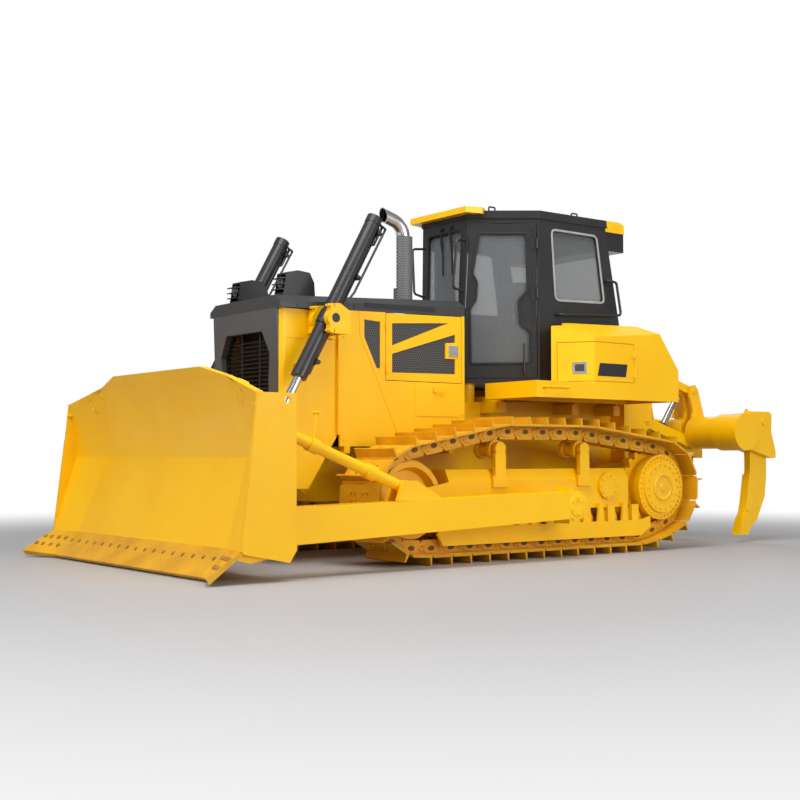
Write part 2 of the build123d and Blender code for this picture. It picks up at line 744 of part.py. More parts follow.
# two triangular and one stepped opening, as (y, z)
mesh_openings = [
    [(-1195, 2100), (-543, 2142), (-1195, 1900)],
    [(-1195, 1827), (-461, 2042), (-461, 1965), (-579, 1952), (-579, 1812), (-461, 1812), (-461, 1671),
     (-1195, 1659)],
]
latch_y = -497
latch_z = 1884
with BuildPart() as engine_door_left:
    side_plate([(door_y[0], door_z[0]), (door_y[1], door_z[0]), (door_y[1], hood_edge(door_y[1]) - door_gap),
                (door_y[0], hood_edge(door_y[0]) - door_gap)], hood_half - panel_thick, hood_half)
    for opening in mesh_openings:
        side_plate(opening, hood_half - 12, hood_half + 1, mode=Mode.SUBTRACT)
    block((hood_half - 1, hood_half + 4), (latch_y - 76, latch_y + 76), (latch_z - 72, latch_z + 72))
    block((hood_half + 3, hood_half + 12), (latch_y - 52, latch_y + 60), (latch_z - 50, latch_z + 50))
    block((hood_half + 6, hood_half + 13), (latch_y - 30, latch_y + 36), (latch_z - 34, latch_z + 34),
          mode=Mode.SUBTRACT)
    block((hood_half + 5, hood_half + 10), (latch_y - 6, latch_y + 30), (latch_z - 26, latch_z + 22))
    for z in (1700, 2080):
        knuckle(hood_half + hinge_radius + seat, door_y[0] - door_gap / 2, z, hinge_radius, 90)
        block((hood_half, hood_half + 5), (door_y[0], door_y[0] + 45), (z - 40, z + 40))
save(engine_door_left, "engine_door_left")
with BuildPart() as engine_door_right:
    mirror(engine_door_left.part, about=Plane.YZ)
save(engine_door_right, "engine_door_right")

# ---------------------------------------------------------------- exhaust and lamps
stack_x = 350
stack_y = -880
stack_radius = 62
with BuildPart() as exhaust:
    base_z = hood_top(stack_y + stack_radius + 26) + 0.3
    with BuildLine() as route:
        FilletPolyline((stack_x, stack_y, base_z), (stack_x, stack_y, 3050), (stack_x, stack_y - 330, 3150),
                       radius=150)
    with BuildSketch(Plane.XY.offset(base_z)) as ring:
        with Locations((stack_x, stack_y)):
            Circle(stack_radius)
            Circle(stack_radius - 6, mode=Mode.SUBTRACT)
    sweep(ring.sketch, path=route.line)
    side_plate([(stack_y - 290, 3400), (stack_y - 190, 2950), (stack_y - 500, 2950), (stack_y - 500, 3400)],
               stack_x - 200, stack_x + 200, mode=Mode.SUBTRACT)
save(exhaust, "exhaust")

with BuildPart() as exhaust_guard:
    with BuildSketch(Plane.XY.offset(base_z)) as collar:
        with Locations((stack_x, stack_y)):
            Circle(stack_radius + 26)
            Circle(stack_radius + 0.3, mode=Mode.SUBTRACT)
    extrude(collar.sketch, amount=110)
    with BuildSketch(Plane.XY.offset(base_z + 110)) as shield:
        with Locations((stack_x, stack_y)):
            Circle(stack_radius + 26)
            Circle(stack_radius + 14, mode=Mode.SUBTRACT)
            Rectangle(400, 400, align=(Align.CENTER, Align.MAX), mode=Mode.SUBTRACT)
    extrude(shield.sketch, amount=480)
save(exhaust_guard, "exhaust_guard")

lamp_side = [(-2217, 2485), (-2099, 2511), (-1979, 2499), (-1933, 2417), (-1923, 0), (-2250, 0), (-2236, 2345)]
with BuildPart() as headlamps:
    for x in (lamp_x, -lamp_x):
        low, high = x - lamp_width / 2, x + lamp_width / 2
        side_plate([(y, z if z else hood_top(y) + seat) for y, z in lamp_side], low, high)
        block((low + 12, high - 12), (-2260, -2170), (hood_top(-2200) + 30, 2470), mode=Mode.SUBTRACT)
        with Locations((x, -2170, 2405)):
            Cylinder(48, 50, rotation=(90, 0, 0))
        for z in (2338, 2385, 2432):
            side_plate([(-2275, z - 5), (-2275, z + 5), (-2165, z + 16), (-2165, z + 6)], low + 4, high - 4)
save(headlamps, "headlamps")

# ---------------------------------------------------------------- blade
wing_angle = 15
fold_lean = degrees(atan2(blade_flat_low - blade_flat_half, wing_top_z))
edge_length = hypot(blade_foot[0] - blade_tip[0], blade_foot[1] - blade_tip[1])
edge_up = ((blade_foot[0] - blade_tip[0]) / edge_length, (blade_foot[1] - blade_tip[1]) / edge_length)
back_low_z = 190
blade_box_top = 640


def edge_point(s, n):
    """Point at s up the cutting edge from its top and n ahead of its front face."""
    return (blade_foot[0] + edge_up[0] * s - edge_up[1] * n, blade_foot[1] + edge_up[1] * s + edge_up[0] * n)


def blade_section():
    """Section of the mouldboard, its skin and the box behind it, as a face at x = 0."""
    with BuildSketch(Plane.YZ) as section:
        with BuildLine():
            Line(blade_foot, blade_crease)
            ThreePointArc(blade_crease, blade_deep, blade_top)
            Line(blade_top, (blade_top[0] + 70, blade_top[1]))
            Line((blade_top[0] + 70, blade_top[1]), (blade_back_y - 60, 1250))
            Line((blade_back_y - 60, 1250), (blade_back_y - 60, blade_box_top + 60))
            Line((blade_back_y - 60, blade_box_top + 60), (blade_back_y, blade_box_top))
            Line((blade_back_y, blade_box_top), (blade_back_y, back_low_z))
            Line((blade_back_y, back_low_z), (blade_foot[0] + 90, blade_foot[1] - 90))
            Line((blade_foot[0] + 90, blade_foot[1] - 90), edge_point(-60, -edge_thick))
            Line(edge_point(-60, -edge_thick), edge_point(0, -edge_thick))
            Line(edge_point(0, -edge_thick), blade_foot)
        make_face()
    return section.sketch


fold_plane = Plane(origin=((blade_flat_half + blade_flat_low) / 2, 0, wing_top_z / 2),
                   x_dir=(0, 1, 0), z_dir=(cos(radians(fold_lean)), 0, sin(radians(fold_lean))))
fold_axis = Axis((0, 0, 0), (cos(radians(fold_lean)), 0, sin(radians(fold_lean))))


def fold_x(z):
    """Where the fold between the middle and the wing lies at a height."""
    return (blade_flat_half + blade_flat_low) / 2 + (wing_top_z / 2 - z) * tan(radians(fold_lean))


wing_run = Vector(cos(radians(wing_angle)), -sin(radians(wing_angle)), 0)
bit_top_y = blade_foot[0] - (blade_half - fold_x(blade_foot[1])) * tan(radians(wing_angle))
bit_back = (edge_up[1] * edge_thick, -edge_up[0] * edge_thick)
plate_foot_y = bit_top_y + end_plate_thick * tan(radians(wing_angle)) + 2

def wing_back(y, z):
    """Plane of a wing's back that passes through a point of the fold at a height."""
    up = Vector(-sin(radians(fold_lean)), 0, cos(radians(fold_lean)))
    return Plane(origin=(fold_x(z), y + seat, z), x_dir=wing_run, z_dir=wing_run.cross(up) * -1)


with BuildPart() as blade:
    extrude(blade_section(), amount=blade_flat_low + 200)
    split(bisect_by=fold_plane, keep=Keep.BOTTOM)
    seam = blade.faces().sort_by(fold_axis)[-1]
    extrude(seam, amount=900, dir=wing_run)
    block((blade_half - end_plate_thick, 4000), (-5000, 0), (-500, 3000), mode=Mode.SUBTRACT)
    # end plate, flush with the wing's front edge
    side_plate([(-3247, wing_top_z), (blade_back_y + 6, wing_top_z), (blade_back_y + 10, 228),
                (blade_back_y - 50, 137), (plate_foot_y + bit_back[0], blade_foot[1] + bit_back[1]),
                (plate_foot_y, blade_foot[1]), (-3280, 1067)],
               blade_half - end_plate_thick, blade_half)
    # the upper part is a lighter plate than the doubler below it
    side_plate([(-3400, 1067), (-3110, 1067), (-3040, 960), (-2985, 300), (-2850, 280), (-2850, 1500), (-3400, 1500)],
               blade_half - end_plate_step, blade_half + 1, mode=Mode.SUBTRACT)
    cross_round(*lifting_hole, lifting_hole_radius, blade_half - end_plate_thick - 1, blade_half + 1,
                mode=Mode.SUBTRACT)
    # gusset in the wing's top corner
    gusset = Plane.XY.offset(wing_top_z - 95)
    with BuildSketch(gusset) as corner_web:
        with BuildLine():
            Polyline((blade_half - end_plate_thick, -3270), (blade_half - end_plate_thick, -3100),
                     (blade_half - end_plate_thick - 130, -3100), close=True)
        make_face()
    extrude(corner_web.sketch, amount=16)
    # hump behind the shoulder, and stiffeners across the back
    with BuildSketch(Plane.XZ.offset(3180)) as hump:
        with Locations((1265, 1420)):
            Circle(100)
    extrude(hump.sketch, amount=-70)
    for z in (800, 1010):
        block((0, blade_flat_half - 60), (blade_back_y - 62, blade_back_y - 22), (z, z + 20))
    # the top falls from the flat to the shoulder
    with BuildSketch(Plane.XZ.offset(2000)) as corner:
        with BuildLine():
            Polyline((blade_top_half, blade_top[1]), (blade_half, wing_top_z), (blade_half + 100, wing_top_z),
                     (blade_half + 100, 2000), (blade_top_half, 2000), close=True)
        make_face()
    extrude(corner.sketch, amount=2500, mode=Mode.SUBTRACT)
    # ears for the lift cylinder's rod
    rod_eye = (yoke_y - lift_eye_length * cos(radians(lift_angle)),
               yoke_z - lift_eye_length * sin(radians(lift_angle)))
    for x_near in (lift_x - lift_eye_width / 2 - 5 - ear_thick, lift_x + lift_eye_width / 2 + 5):
        side_plate([(blade_back_y - 62, rod_eye[1] - 160), (blade_back_y + 10, rod_eye[1] - 160),
                    (rod_eye[0] + 60, rod_eye[1] - 55), (rod_eye[0] + 60, rod_eye[1] + 55),
                    (blade_back_y + 10, rod_eye[1] + 160), (blade_back_y - 62, rod_eye[1] + 160)],
                   x_near, x_near + ear_thick)
        cross_round(rod_eye[0], rod_eye[1], lift_pin_radius + hinge_play, x_near - 1, x_near + ear_thick + 1,
                    mode=Mode.SUBTRACT)
    mirror(about=Plane.YZ)
save(blade, "blade")

with BuildPart() as cutting_edges:
    edge_section = [edge_point(0, 0), edge_point(-edge_length, 0), edge_point(-edge_length, -edge_thick),
                    edge_point(0, -edge_thick)]
    extrude(outline(Plane.YZ, edge_section), amount=blade_flat_low + 200)
    split(bisect_by=fold_plane, keep=Keep.BOTTOM)
    seam = cutting_edges.faces().sort_by(fold_axis)[-1]
    # end bit: follows the wing at its top and reaches further ahead at its tip
    bit_section = [(bit_top_y, blade_foot[1]), (bit_tip_y, blade_tip[1] + 27),
                   (bit_tip_y + edge_thick, blade_tip[1] - 16),
                   (bit_top_y + bit_back[0], blade_foot[1] + bit_back[1])]
    loft([seam, outline(Plane.YZ.offset(blade_half), bit_section)], ruled=True)
    mirror(about=Plane.YZ)
save(cutting_edges, "cutting_edges")

# ---------------------------------------------------------------- push arms and braces
brace_x = (arm_x[0] + arm_x[1]) / 2
brace_front = (-2870, 1090)
brace_rear = (-1745, 655)
brace_radius = 45

with BuildPart() as push_arms:
    side_plate([(arm_front_y, arm_front_z[0]), (arm_rear_y, arm_rear_z[0]), (arm_rear_y, arm_rear_z[1]),
                (arm_front_y, arm_front_z[1])], *arm_x)
    cross_round(arm_trunnion_y, arm_trunnion_z, arm_cap_radius, *arm_x)
    cross_round(arm_trunnion_y, arm_trunnion_z, arm_trunnion_radius + hinge_play, arm_x[0] - 1, arm_x[1] - 40,
                mode=Mode.SUBTRACT)
    block(arm_x, (blade_back_y - 120, arm_front_y + 1), (arm_front_z[0] + 30, arm_front_z[1] - 30))
    for low, high in ((arm_cap_radius - 30, arm_cap_radius + 30), (-arm_cap_radius - 30, -arm_cap_radius + 30)):
        block((arm_x[0] + 12, arm_x[1] - 12), (arm_trunnion_y - 85, arm_trunnion_y - 45),
              (arm_trunnion_z + low, arm_trunnion_z + high))
    split(bisect_by=wing_back(blade_back_y, arm_front_z[0]), keep=Keep.TOP)
    for x_near in (brace_x - 80, brace_x + 45):
        side_plate([(brace_rear[0] - 135, brace_rear[1] - 95), (brace_rear[0] + 345, brace_rear[1] - 95),
                    (brace_rear[0] + 65, brace_rear[1] + 65), (brace_rear[0] - 75, brace_rear[1] + 65)],
                   x_near, x_near + 35)
    mirror(about=Plane.YZ)
save(push_arms, "push_arms")

with BuildPart() as brace_feet:
    block((brace_x - 80, brace_x + 80), (blade_back_y - 200, brace_front[0] + 10),
          (brace_front[1] - 80, brace_front[1] + 80))
    split(bisect_by=wing_back(blade_back_y - 60, brace_front[1] - 80), keep=Keep.TOP)
    mirror(about=Plane.YZ)

with BuildPart() as braces:
    bar_between(brace_front, brace_rear, brace_radius, brace_x)
    cross_round(brace_rear[0], brace_rear[1], 62, brace_x - 44.7, brace_x + 44.7)
    bar_between(along(brace_rear, 158.8, 330), along(brace_rear, 158.8, 420), 62, brace_x)
    bar_between(along(brace_front, -21.2, 210), along(brace_front, -21.2, 300), 58, brace_x)
    handle = along(brace_front, -21.2, 250)
    bar_between(handle, (handle[0] + 45, handle[1] + 250), 10, brace_x)
    cross_round(handle[0] + 45, handle[1] + 250, 12, brace_x - 45, brace_x + 45)
    bar_between(brace_front, brace_rear, 42, -brace_x)
    bar_between(brace_front, along(brace_front, -21.2, 760), 70, -brace_x)
    cross_round(brace_rear[0], brace_rear[1], 62, -brace_x - 44.7, -brace_x + 44.7)
    add(brace_feet.part)
save(braces, "braces")

# ---------------------------------------------------------------- lift cylinders
yoke = (yoke_y, yoke_z)
down = lift_angle + 180
rod_top = 30
tube_radius = 11
tube_offset = lift_barrel_radius + 22
for name, x in (("left", lift_x), ("right", -lift_x)):
    with BuildPart() as lift_barrel:
        bar_between(along(yoke, lift_angle, lift_above), along(yoke, down, lift_below), lift_barrel_radius - 4, x)
        bar_between(along(yoke, down, lift_below - 90), along(yoke, down, lift_below), lift_barrel_radius, x)
        bar_between(along(yoke, lift_angle, lift_above - 70), along(yoke, lift_angle, lift_above),
                    lift_barrel_radius, x)
        bar_between(along(yoke, lift_angle, 60), along(yoke, down, 60), lift_barrel_radius + 6, x)
        cross_round(yoke_y, yoke_z, trunnion_radius, x - ear_out, x + ear_out)
        # oil tubes behind the barrel, from the ports at its head down to the gland, held by clamps
        for side_step, tube_end in ((-24, 75 - lift_below), (24, lift_above - 240)):
            run = [along(along(yoke, lift_angle, s), lift_angle - 90, d) for s, d in (
                (lift_above - 35, lift_barrel_radius - 14), (lift_above - 35, tube_offset),
                (tube_end, tube_offset), (tube_end, lift_barrel_radius - 14))]
            pipe([(x + side_step, y, z) for y, z in run], tube_radius, 25)
        for s, half_width in ((lift_above - 110, 42), (480, 42), (200 - lift_below, 42)):
            clamp = Plane(origin=(x, *along(along(yoke, lift_angle, s), lift_angle - 90, tube_offset - 6)),
                          x_dir=(1, 0, 0), z_dir=(0, *along((0, 0), lift_angle, 1)))
            with Locations(clamp):
                Box(2 * half_width, 44, 30)
        bar_between(along(yoke, lift_angle, lift_above - 90), along(yoke, down, lift_below + 1),
                    lift_rod_radius + hinge_play, x, mode=Mode.SUBTRACT)
    save(lift_barrel, f"lift_barrel_{name}")
    with BuildPart() as lift_rod:
        bar_between(along(yoke, down, rod_top), rod_eye, lift_rod_radius, x)
        cross_round(rod_eye[0], rod_eye[1], lift_eye_radius, x - lift_eye_width / 2, x + lift_eye_width / 2)
    save(lift_rod, f"lift_rod_{name}")

# ---------------------------------------------------------------- cab
cab_plan = [(-cab_front_half, cab_front_y), (cab_front_half, cab_front_y), (cab_half, cab_wide_y),
            (cab_rear_half, cab_rear_y), (-cab_rear_half, cab_rear_y), (-cab_half, cab_wide_y)]
sill_z = cab_floor_z + 40
lintel_z = cab_roof_z - 45
front_lean = atan2(cab_front_lean, cab_roof_z - cab_floor_z)
rear_lean = atan2(cab_rear_lean, cab_roof_z - cab_rear_knee_z)
front_wall = Plane(origin=(-cab_front_half, cab_front_y, cab_floor_z), x_dir=(1, 0, 0),
                   z_dir=(0, -cos(front_lean), sin(front_lean)))
rear_wall = Plane(origin=(cab_rear_half, cab_rear_y, cab_rear_knee_z), x_dir=(-1, 0, 0),
                  z_dir=(0, cos(rear_lean), sin(rear_lean)))
front_run = 2 * cab_front_half
rear_run = 2 * cab_rear_half


def wall_plane(start, end):
    """Plane of an upright wall: x runs from start to end, y is up, and the normal points out of the cab."""
    run = Vector(end[0] - start[0], end[1] - start[1], 0)
    return Plane(origin=(start[0], start[1], 0), x_dir=run, z_dir=Vector(run.Y, -run.X, 0)), run.length


def lean_walls(inset):
    """Cut the body at hand by the leaning front and rear walls, moved inwards by inset."""
    split(bisect_by=front_wall.offset(-inset), keep=Keep.BOTTOM)
    split(bisect_by=rear_wall.offset(-inset), keep=Keep.BOTTOM)


def wall_panel(plane, points, radius, depth_in, depth_out, grow=0, mode=Mode.SUBTRACT):
    """A rounded panel or opening in a wall, from points along the wall and up it."""
    with BuildSketch(plane.offset(-depth_in)) as pane:
        with BuildLine():
            Polyline(*points, close=True)
        make_face()
        fillet(pane.vertices(), radius)
        if grow:
            offset(amount=grow, mode=Mode.REPLACE)
    return extrude(pane.sketch, amount=depth_in + depth_out, mode=mode)


door_wall, door_run = wall_plane(cab_plan[1], cab_plan[2])
side_wall, side_run = wall_plane(cab_plan[2], cab_plan[3])
door_end = door_run - 20
post_lean = cab_front_lean / (cab_roof_z - cab_floor_z) * door_run / (cab_wide_y - cab_front_y)
door_hole = [(15, sill_z), (door_end, sill_z), (door_end, lintel_z), (15 + post_lean * (lintel_z - sill_z), lintel_z)]
# outlines of the panes: along the wall, and up it or above its foot
wind_pane = [(48, 700), (front_run - 48, 700), (front_run - 40, 1490), (40, 1490)]
rear_pane = [(110, 170), (rear_run - 110, 170), (rear_run - 110, 900), (110, 900)]
side_pane = [(213, 2428), (878, 2447), (774, 3110), (162, 3115)]
door_pane = [(98, 1801), (672, 1806), (672, 2119), (575, 2189), (561, 2413), (648, 2507), (636, 3060), (181, 3060),
             (120, 2667), (164, 2589), (153, 2417), (92, 2327)]
pane_thick = 8

with BuildPart() as cab_hollow:
    with BuildSketch(Plane.XY.offset(sill_z)) as room:
        add(outline(Plane.XY, cab_plan))
        offset(amount=-cab_wall, mode=Mode.REPLACE)
    extrude(room.sketch, amount=cab_roof_z - sill_z)
    lean_walls(cab_wall)

with BuildPart() as cab_roof:
    with BuildSketch(Plane.XY.offset(cab_roof_z)) as roof:
        add(outline(Plane.XY, cab_plan))
        offset(amount=roof_overhang, kind=Kind.INTERSECTION, mode=Mode.REPLACE)
    extrude(roof.sketch, amount=cab_roof_top_z - cab_roof_z)
    lean_walls(-roof_overhang)

with BuildPart() as cab_shell:
    plan_plate(cab_plan, cab_floor_z, cab_roof_z)
    lean_walls(0)
    add(cab_hollow.part, mode=Mode.SUBTRACT)
    wall_panel(front_wall, wind_pane, 55, 90, 5)
    wall_panel(rear_wall, rear_pane, 60, 90, 5)
    for plane, points, radius in ((side_wall, side_pane, 55), (door_wall, door_hole, 12)):
        hole = wall_panel(plane, points, radius, 110, 5, mode=Mode.PRIVATE)
        add(hole, mode=Mode.SUBTRACT)
        mirror(hole, about=Plane.YZ, mode=Mode.SUBTRACT)
    add(cab_roof.part)
    # lifting eyes on the roof, handrails at the front posts and along the side
    for side in (-1, 1):
        for x, y in ((450, 130), (700, 1000)):
            pipe([(side * x, y - 40, cab_roof_top_z - 10), (side * x, y - 40, cab_roof_top_z + 45),
                  (side * x, y + 40, cab_roof_top_z + 45), (side * x, y + 40, cab_roof_top_z - 10)], 8, 14)
        pipe([(side * 322, -88, 2995), (side * 345, -225, 2985), (side * 300, -238, 2530), (side * 300, -100, 2500)],
             12, 35)
        pipe([(side * (cab_half + 10), 1330, 2670), (side * rail_x, 1330, 2670), (side * rail_x, 1440, 2655),
              (side * rail_x, 1505, 2330), (side * rail_x, 670, 2285), (side * (cab_half - 5), 670, 2285)], 13, 32)
save(cab_shell, "cab_shell")

with BuildPart() as roof_clearance:
    with BuildSketch(Plane.XY.offset(cab_roof_z - 50)) as roof:
        add(outline(Plane.XY, cab_plan))
        offset(amount=roof_overhang + seat, kind=Kind.INTERSECTION, mode=Mode.REPLACE)
    extrude(roof.sketch, amount=cab_roof_top_z + seat - cab_roof_z + 50)
    lean_walls(-roof_overhang - seat)

ac_half = 700
with BuildPart() as cab_visors:
    plan_plate([(-430, -185), (430, -185), (478, -15), (430, 60), (-430, 60), (-478, -15)],
               cab_roof_top_z - 35, cab_roof_top_z + 24)
    side_plate([(cab_rear_y - 175, ac_z[1] + seat), (ac_y + 2, ac_z[1] + seat), (ac_y - 6, 3283), (ac_y - 70, 3304),
                (cab_rear_y - 195, 3304)], -ac_half - 12, ac_half + 12)
    add(roof_clearance.part, mode=Mode.SUBTRACT)
save(cab_visors, "cab_visors")

with BuildPart() as cab_glass:
    wall_panel(front_wall, wind_pane, 55, 40, pane_thick - 40, mode=Mode.ADD)
    wall_panel(rear_wall, rear_pane, 60, 40, pane_thick - 40, mode=Mode.ADD)
    pane = wall_panel(side_wall, side_pane, 55, 40, pane_thick - 40, mode=Mode.ADD)
    mirror(pane, about=Plane.YZ)
save(cab_glass, "cab_glass")

door_play = 6
door_thick = 40
cab_hinge_z = (2480, 2960)
with BuildPart() as cab_door_left:
    wall_panel(door_wall, door_hole, 12, door_thick, 0, grow=-door_play, mode=Mode.ADD)
    wall_panel(door_wall, door_pane, 26, 2, 5, grow=16, mode=Mode.ADD)
    wall_panel(door_wall, door_pane, 26, 60, 6)
    for z in cab_hinge_z:
        pin = door_wall.from_local_coords((door_end - door_play / 2, z, cab_hinge_radius + seat))
        knuckle(pin.X, pin.Y, pin.Z, cab_hinge_radius, 90)
        with BuildSketch(door_wall) as leaf:
            with Locations((door_end - door_play - 30, z)):
                Rectangle(60, 120)
        extrude(leaf.sketch, amount=8)
    # grab handle across the foot of the pane
    grip = [door_wall.from_local_coords(p) for p in ((610, 1990, -6), (610, 1990, 40), (610, 1700, 40), (610, 1700, -6))]
    pipe([(p.X, p.Y, p.Z) for p in grip], 9, 16)
save(cab_door_left, "cab_door_left")
with BuildPart() as cab_door_right:
    mirror(cab_door_left.part, about=Plane.YZ)
save(cab_door_right, "cab_door_right")

with BuildPart() as door_glass_left:
    wall_panel(door_wall, door_pane, 26, 26, pane_thick - 26, mode=Mode.ADD)
save(door_glass_left, "door_glass_left")
with BuildPart() as door_glass_right:
    mirror(door_glass_left.part, about=Plane.YZ)
save(door_glass_right, "door_glass_right")

seat_y = 620
floor_top = cab_floor_z + 40
with BuildPart() as operator_station:
    block((-200, 200), (seat_y - 200, seat_y + 220), (floor_top, floor_top + 330))
    block((-240, 240), (cab_front_y + 92, cab_front_y + 180), (floor_top, 2300))
    for x in (-360, 360):
        block((x - 70, x + 70), (seat_y - 300, seat_y + 260), (floor_top, floor_top + 520))
        with Locations((x, seat_y - 220, floor_top + 520 + 80)):
            Cylinder(14, 160)
save(operator_station, "operator_station")

with BuildPart() as seat_cushions:
    block((-240, 240), (seat_y - 240, seat_y + 240), (floor_top + 330.3, floor_top + 450))
    block((-230, 230), (seat_y + 150, seat_y + 270), (floor_top + 450.3, floor_top + 1050))
save(seat_cushions, "seat_cushions")

rear_slope = cab_rear_lean / (cab_roof_z - cab_rear_knee_z)
with BuildPart() as ac_unit:
    side_plate([(cab_rear_y + 1 - (ac_z[0] - cab_rear_knee_z) * rear_slope, ac_z[0]), (ac_y, ac_z[0]),
                (ac_y, ac_z[1]), (cab_rear_y + 1 - (ac_z[1] - cab_rear_knee_z) * rear_slope, ac_z[1])],
               -ac_half, ac_half)
save(ac_unit, "ac_unit")

# ---------------------------------------------------------------- platforms, side boxes and tank
box_door_rear_y = 1195
box_door_thick = 18
box_floor = deck_z[1]
tail_knee = (1565, 1760)
box_door_start = 60
box_door_z = (1621, 1985)


def box_wrap(start, rear, inner, outer):
    """Plan outline of a sheet that wraps the slanted front and the side of the left box."""
    run = Vector(deck_x - box_inner_x, box_front_y - box_inner_front_y, 0).normalized()
    out = Vector(run.Y, -run.X, 0)

    def on_front(s, d):
        point = Vector(box_inner_x, box_inner_front_y, 0) + run * s + out * d
        return (point.X, point.Y)

    def corner(d):
        return on_front((deck_x + d - box_inner_x - out.X * d) / run.X, d)

    return [on_front(start, outer), corner(outer), (deck_x + outer, rear), (deck_x + inner, rear),
            corner(inner), on_front(start, inner)]


with BuildPart() as fender_left:
    plan_plate([(deck_inner_x, deck_front_y), (deck_x, deck_front_y), (deck_x, deck_rear_y),
                (deck_inner_x, deck_rear_y)], *deck_z)
    block((deck_inner_x + 25, deck_x - 25), (deck_front_y + 25, deck_rear_y - 25), (deck_z[0] - 1, deck_z[1] - 25),
          mode=Mode.SUBTRACT)
    plan_plate([(box_inner_x, box_inner_front_y), (deck_x, box_front_y), (deck_x, deck_rear_y),
                (rail_x + 30, deck_rear_y), (rail_x + 30, 640), (box_inner_x, 640)], box_floor, box_inner_top_z + 30)
    # sloping lid and tail
    lid = Plane(origin=(deck_x, box_front_y, box_top_z[0]),
                x_dir=(0, tail_knee[0] - box_front_y, box_top_z[1] - box_top_z[0]),
                z_dir=Vector(0, tail_knee[0] - box_front_y, box_top_z[1] - box_top_z[0]).cross(
                    Vector(box_inner_x - deck_x, 0, box_inner_top_z - box_top_z[0])) * -1)
    lid_up = lid if lid.z_dir.Z > 0 else -lid
    split(bisect_by=lid_up, keep=Keep.BOTTOM)
    tail = Plane(origin=(deck_x, tail_knee[0], box_top_z[1]), x_dir=(1, 0, 0),
                 z_dir=(0, box_top_z[1] - tail_knee[1], deck_rear_y - tail_knee[0]))
    split(bisect_by=tail, keep=Keep.BOTTOM)
    # grab handle on the fascia and ribs under the platform
    pipe([(deck_x - 5, -10, 1545), (deck_x + 38, -10, 1545), (deck_x + 38, 290, 1545), (deck_x - 5, 290, 1545)], 10, 18)
    # battery space behind the door
    plan_plate([(box_inner_x + 40, box_inner_front_y + 60), (deck_x - box_door_thick - 1, box_front_y + 25),
                (deck_x - box_door_thick - 1, box_door_rear_y - 30), (box_inner_x + 40, box_door_rear_y - 30)],
               box_door_z[0] + 15, box_door_z[1] - 15, mode=Mode.SUBTRACT)
    plan_plate(box_wrap(box_door_start - door_gap, box_door_rear_y, -box_door_thick - 0.3, 40),
               box_door_z[0] - door_gap, box_door_z[1] + door_gap, mode=Mode.SUBTRACT)
save(fender_left, "fender_left")
with BuildPart() as fender_right:
    mirror(fender_left.part, about=Plane.YZ)
save(fender_right, "fender_right")

with BuildPart() as box_door_left:
    plan_plate(box_wrap(box_door_start, box_door_rear_y - door_gap, -box_door_thick, 0), *box_door_z)
    for z in (1710, 1895):
        knuckle(deck_x + hinge_radius + seat, box_door_rear_y - door_gap / 2, z, hinge_radius, 80)
        block((deck_x, deck_x + 5), (box_door_rear_y - 45, box_door_rear_y - door_gap), (z - 35, z + 35))
save(box_door_left, "box_door_left")
with BuildPart() as box_door_right:
    mirror(box_door_left.part, about=Plane.YZ)
save(box_door_right, "box_door_right")

with BuildPart() as fuel_tank:
    block((-580, 580), (cab_rear_y + 60, hull_rear_y), (1500, 2060))
    with Locations((-300, cab_rear_y + 230, 2090)):
        Cylinder(70, 60)
save(fuel_tank, "fuel_tank")

# ---------------------------------------------------------------- ripper
link_rear_low = (link_front_low[0] + link_reach[0], link_front_low[1] + link_reach[1])
link_front_top = (link_front_low[0], link_front_low[1] + link_rise)
link_rear_top = (link_rear_low[0], link_rear_low[1] + link_rise)
bracket_near = ripper_x - link_width / 2 - ear_gap - ear_thick
bracket_far = ripper_x + link_width / 2 + ear_gap
foot_near = ripper_cyl_x - ripper_eye_width / 2 - ear_gap - ear_thick
foot_far = ripper_cyl_x + ripper_eye_width / 2 + ear_gap

with BuildPart() as ripper_mount:
    block((-520, 520), (hull_rear_y, hull_rear_y + 60), (560, 1960))
    for x_near in (bracket_near, bracket_far):
        side_plate([(hull_rear_y + 60, 1100), (link_front_low[0] + 40, link_front_low[1] - 80),
                    (link_front_low[0] + 80, link_front_low[1]), (link_front_top[0] + 80, link_front_top[1]),
                    (link_front_top[0] + 40, link_front_top[1] + 80), (hull_rear_y + 60, 1960)],
                   x_near, x_near + ear_thick)
        for y, z in (link_front_low, link_front_top):
            cross_round(y, z, link_pin_radius + hinge_play, x_near - 1, x_near + ear_thick + 1, mode=Mode.SUBTRACT)
    for x_near in (foot_near, foot_far):
        side_plate([(hull_rear_y + 60, 570), (ripper_cyl_foot[0], ripper_cyl_foot[1] - 62),
                    (ripper_cyl_foot[0] - 45, ripper_cyl_foot[1] + 45), (hull_rear_y + 60, 800)],
                   x_near, x_near + ear_thick)
        cross_round(*ripper_cyl_foot, 62, x_near, x_near + ear_thick)
        cross_round(*ripper_cyl_foot, link_pin_radius + hinge_play, x_near - 1, x_near + ear_thick + 1,
                    mode=Mode.SUBTRACT)
    mirror(about=Plane.YZ)
save(ripper_mount, "ripper_mount")

pin_reach = link_width / 2 + ear_gap + ear_thick


def link_bar(front, rear, depth):
    """One link with eyes and pins at both ends."""
    bearing = degrees(atan2(rear[1] - front[1], rear[0] - front[0]))
    a, b = along(front, bearing, 0), along(rear, bearing, 0)
    side_plate([along(a, bearing + 90, depth), along(b, bearing + 90, depth), along(b, bearing - 90, depth),
                along(a, bearing - 90, depth)], ripper_x - link_width / 2, ripper_x + link_width / 2)
    for y, z in (front, rear):
        cross_round(y, z, link_eye_radius, ripper_x - link_width / 2, ripper_x + link_width / 2)
    cross_round(*front, link_pin_radius, ripper_x - pin_reach, ripper_x + pin_reach)


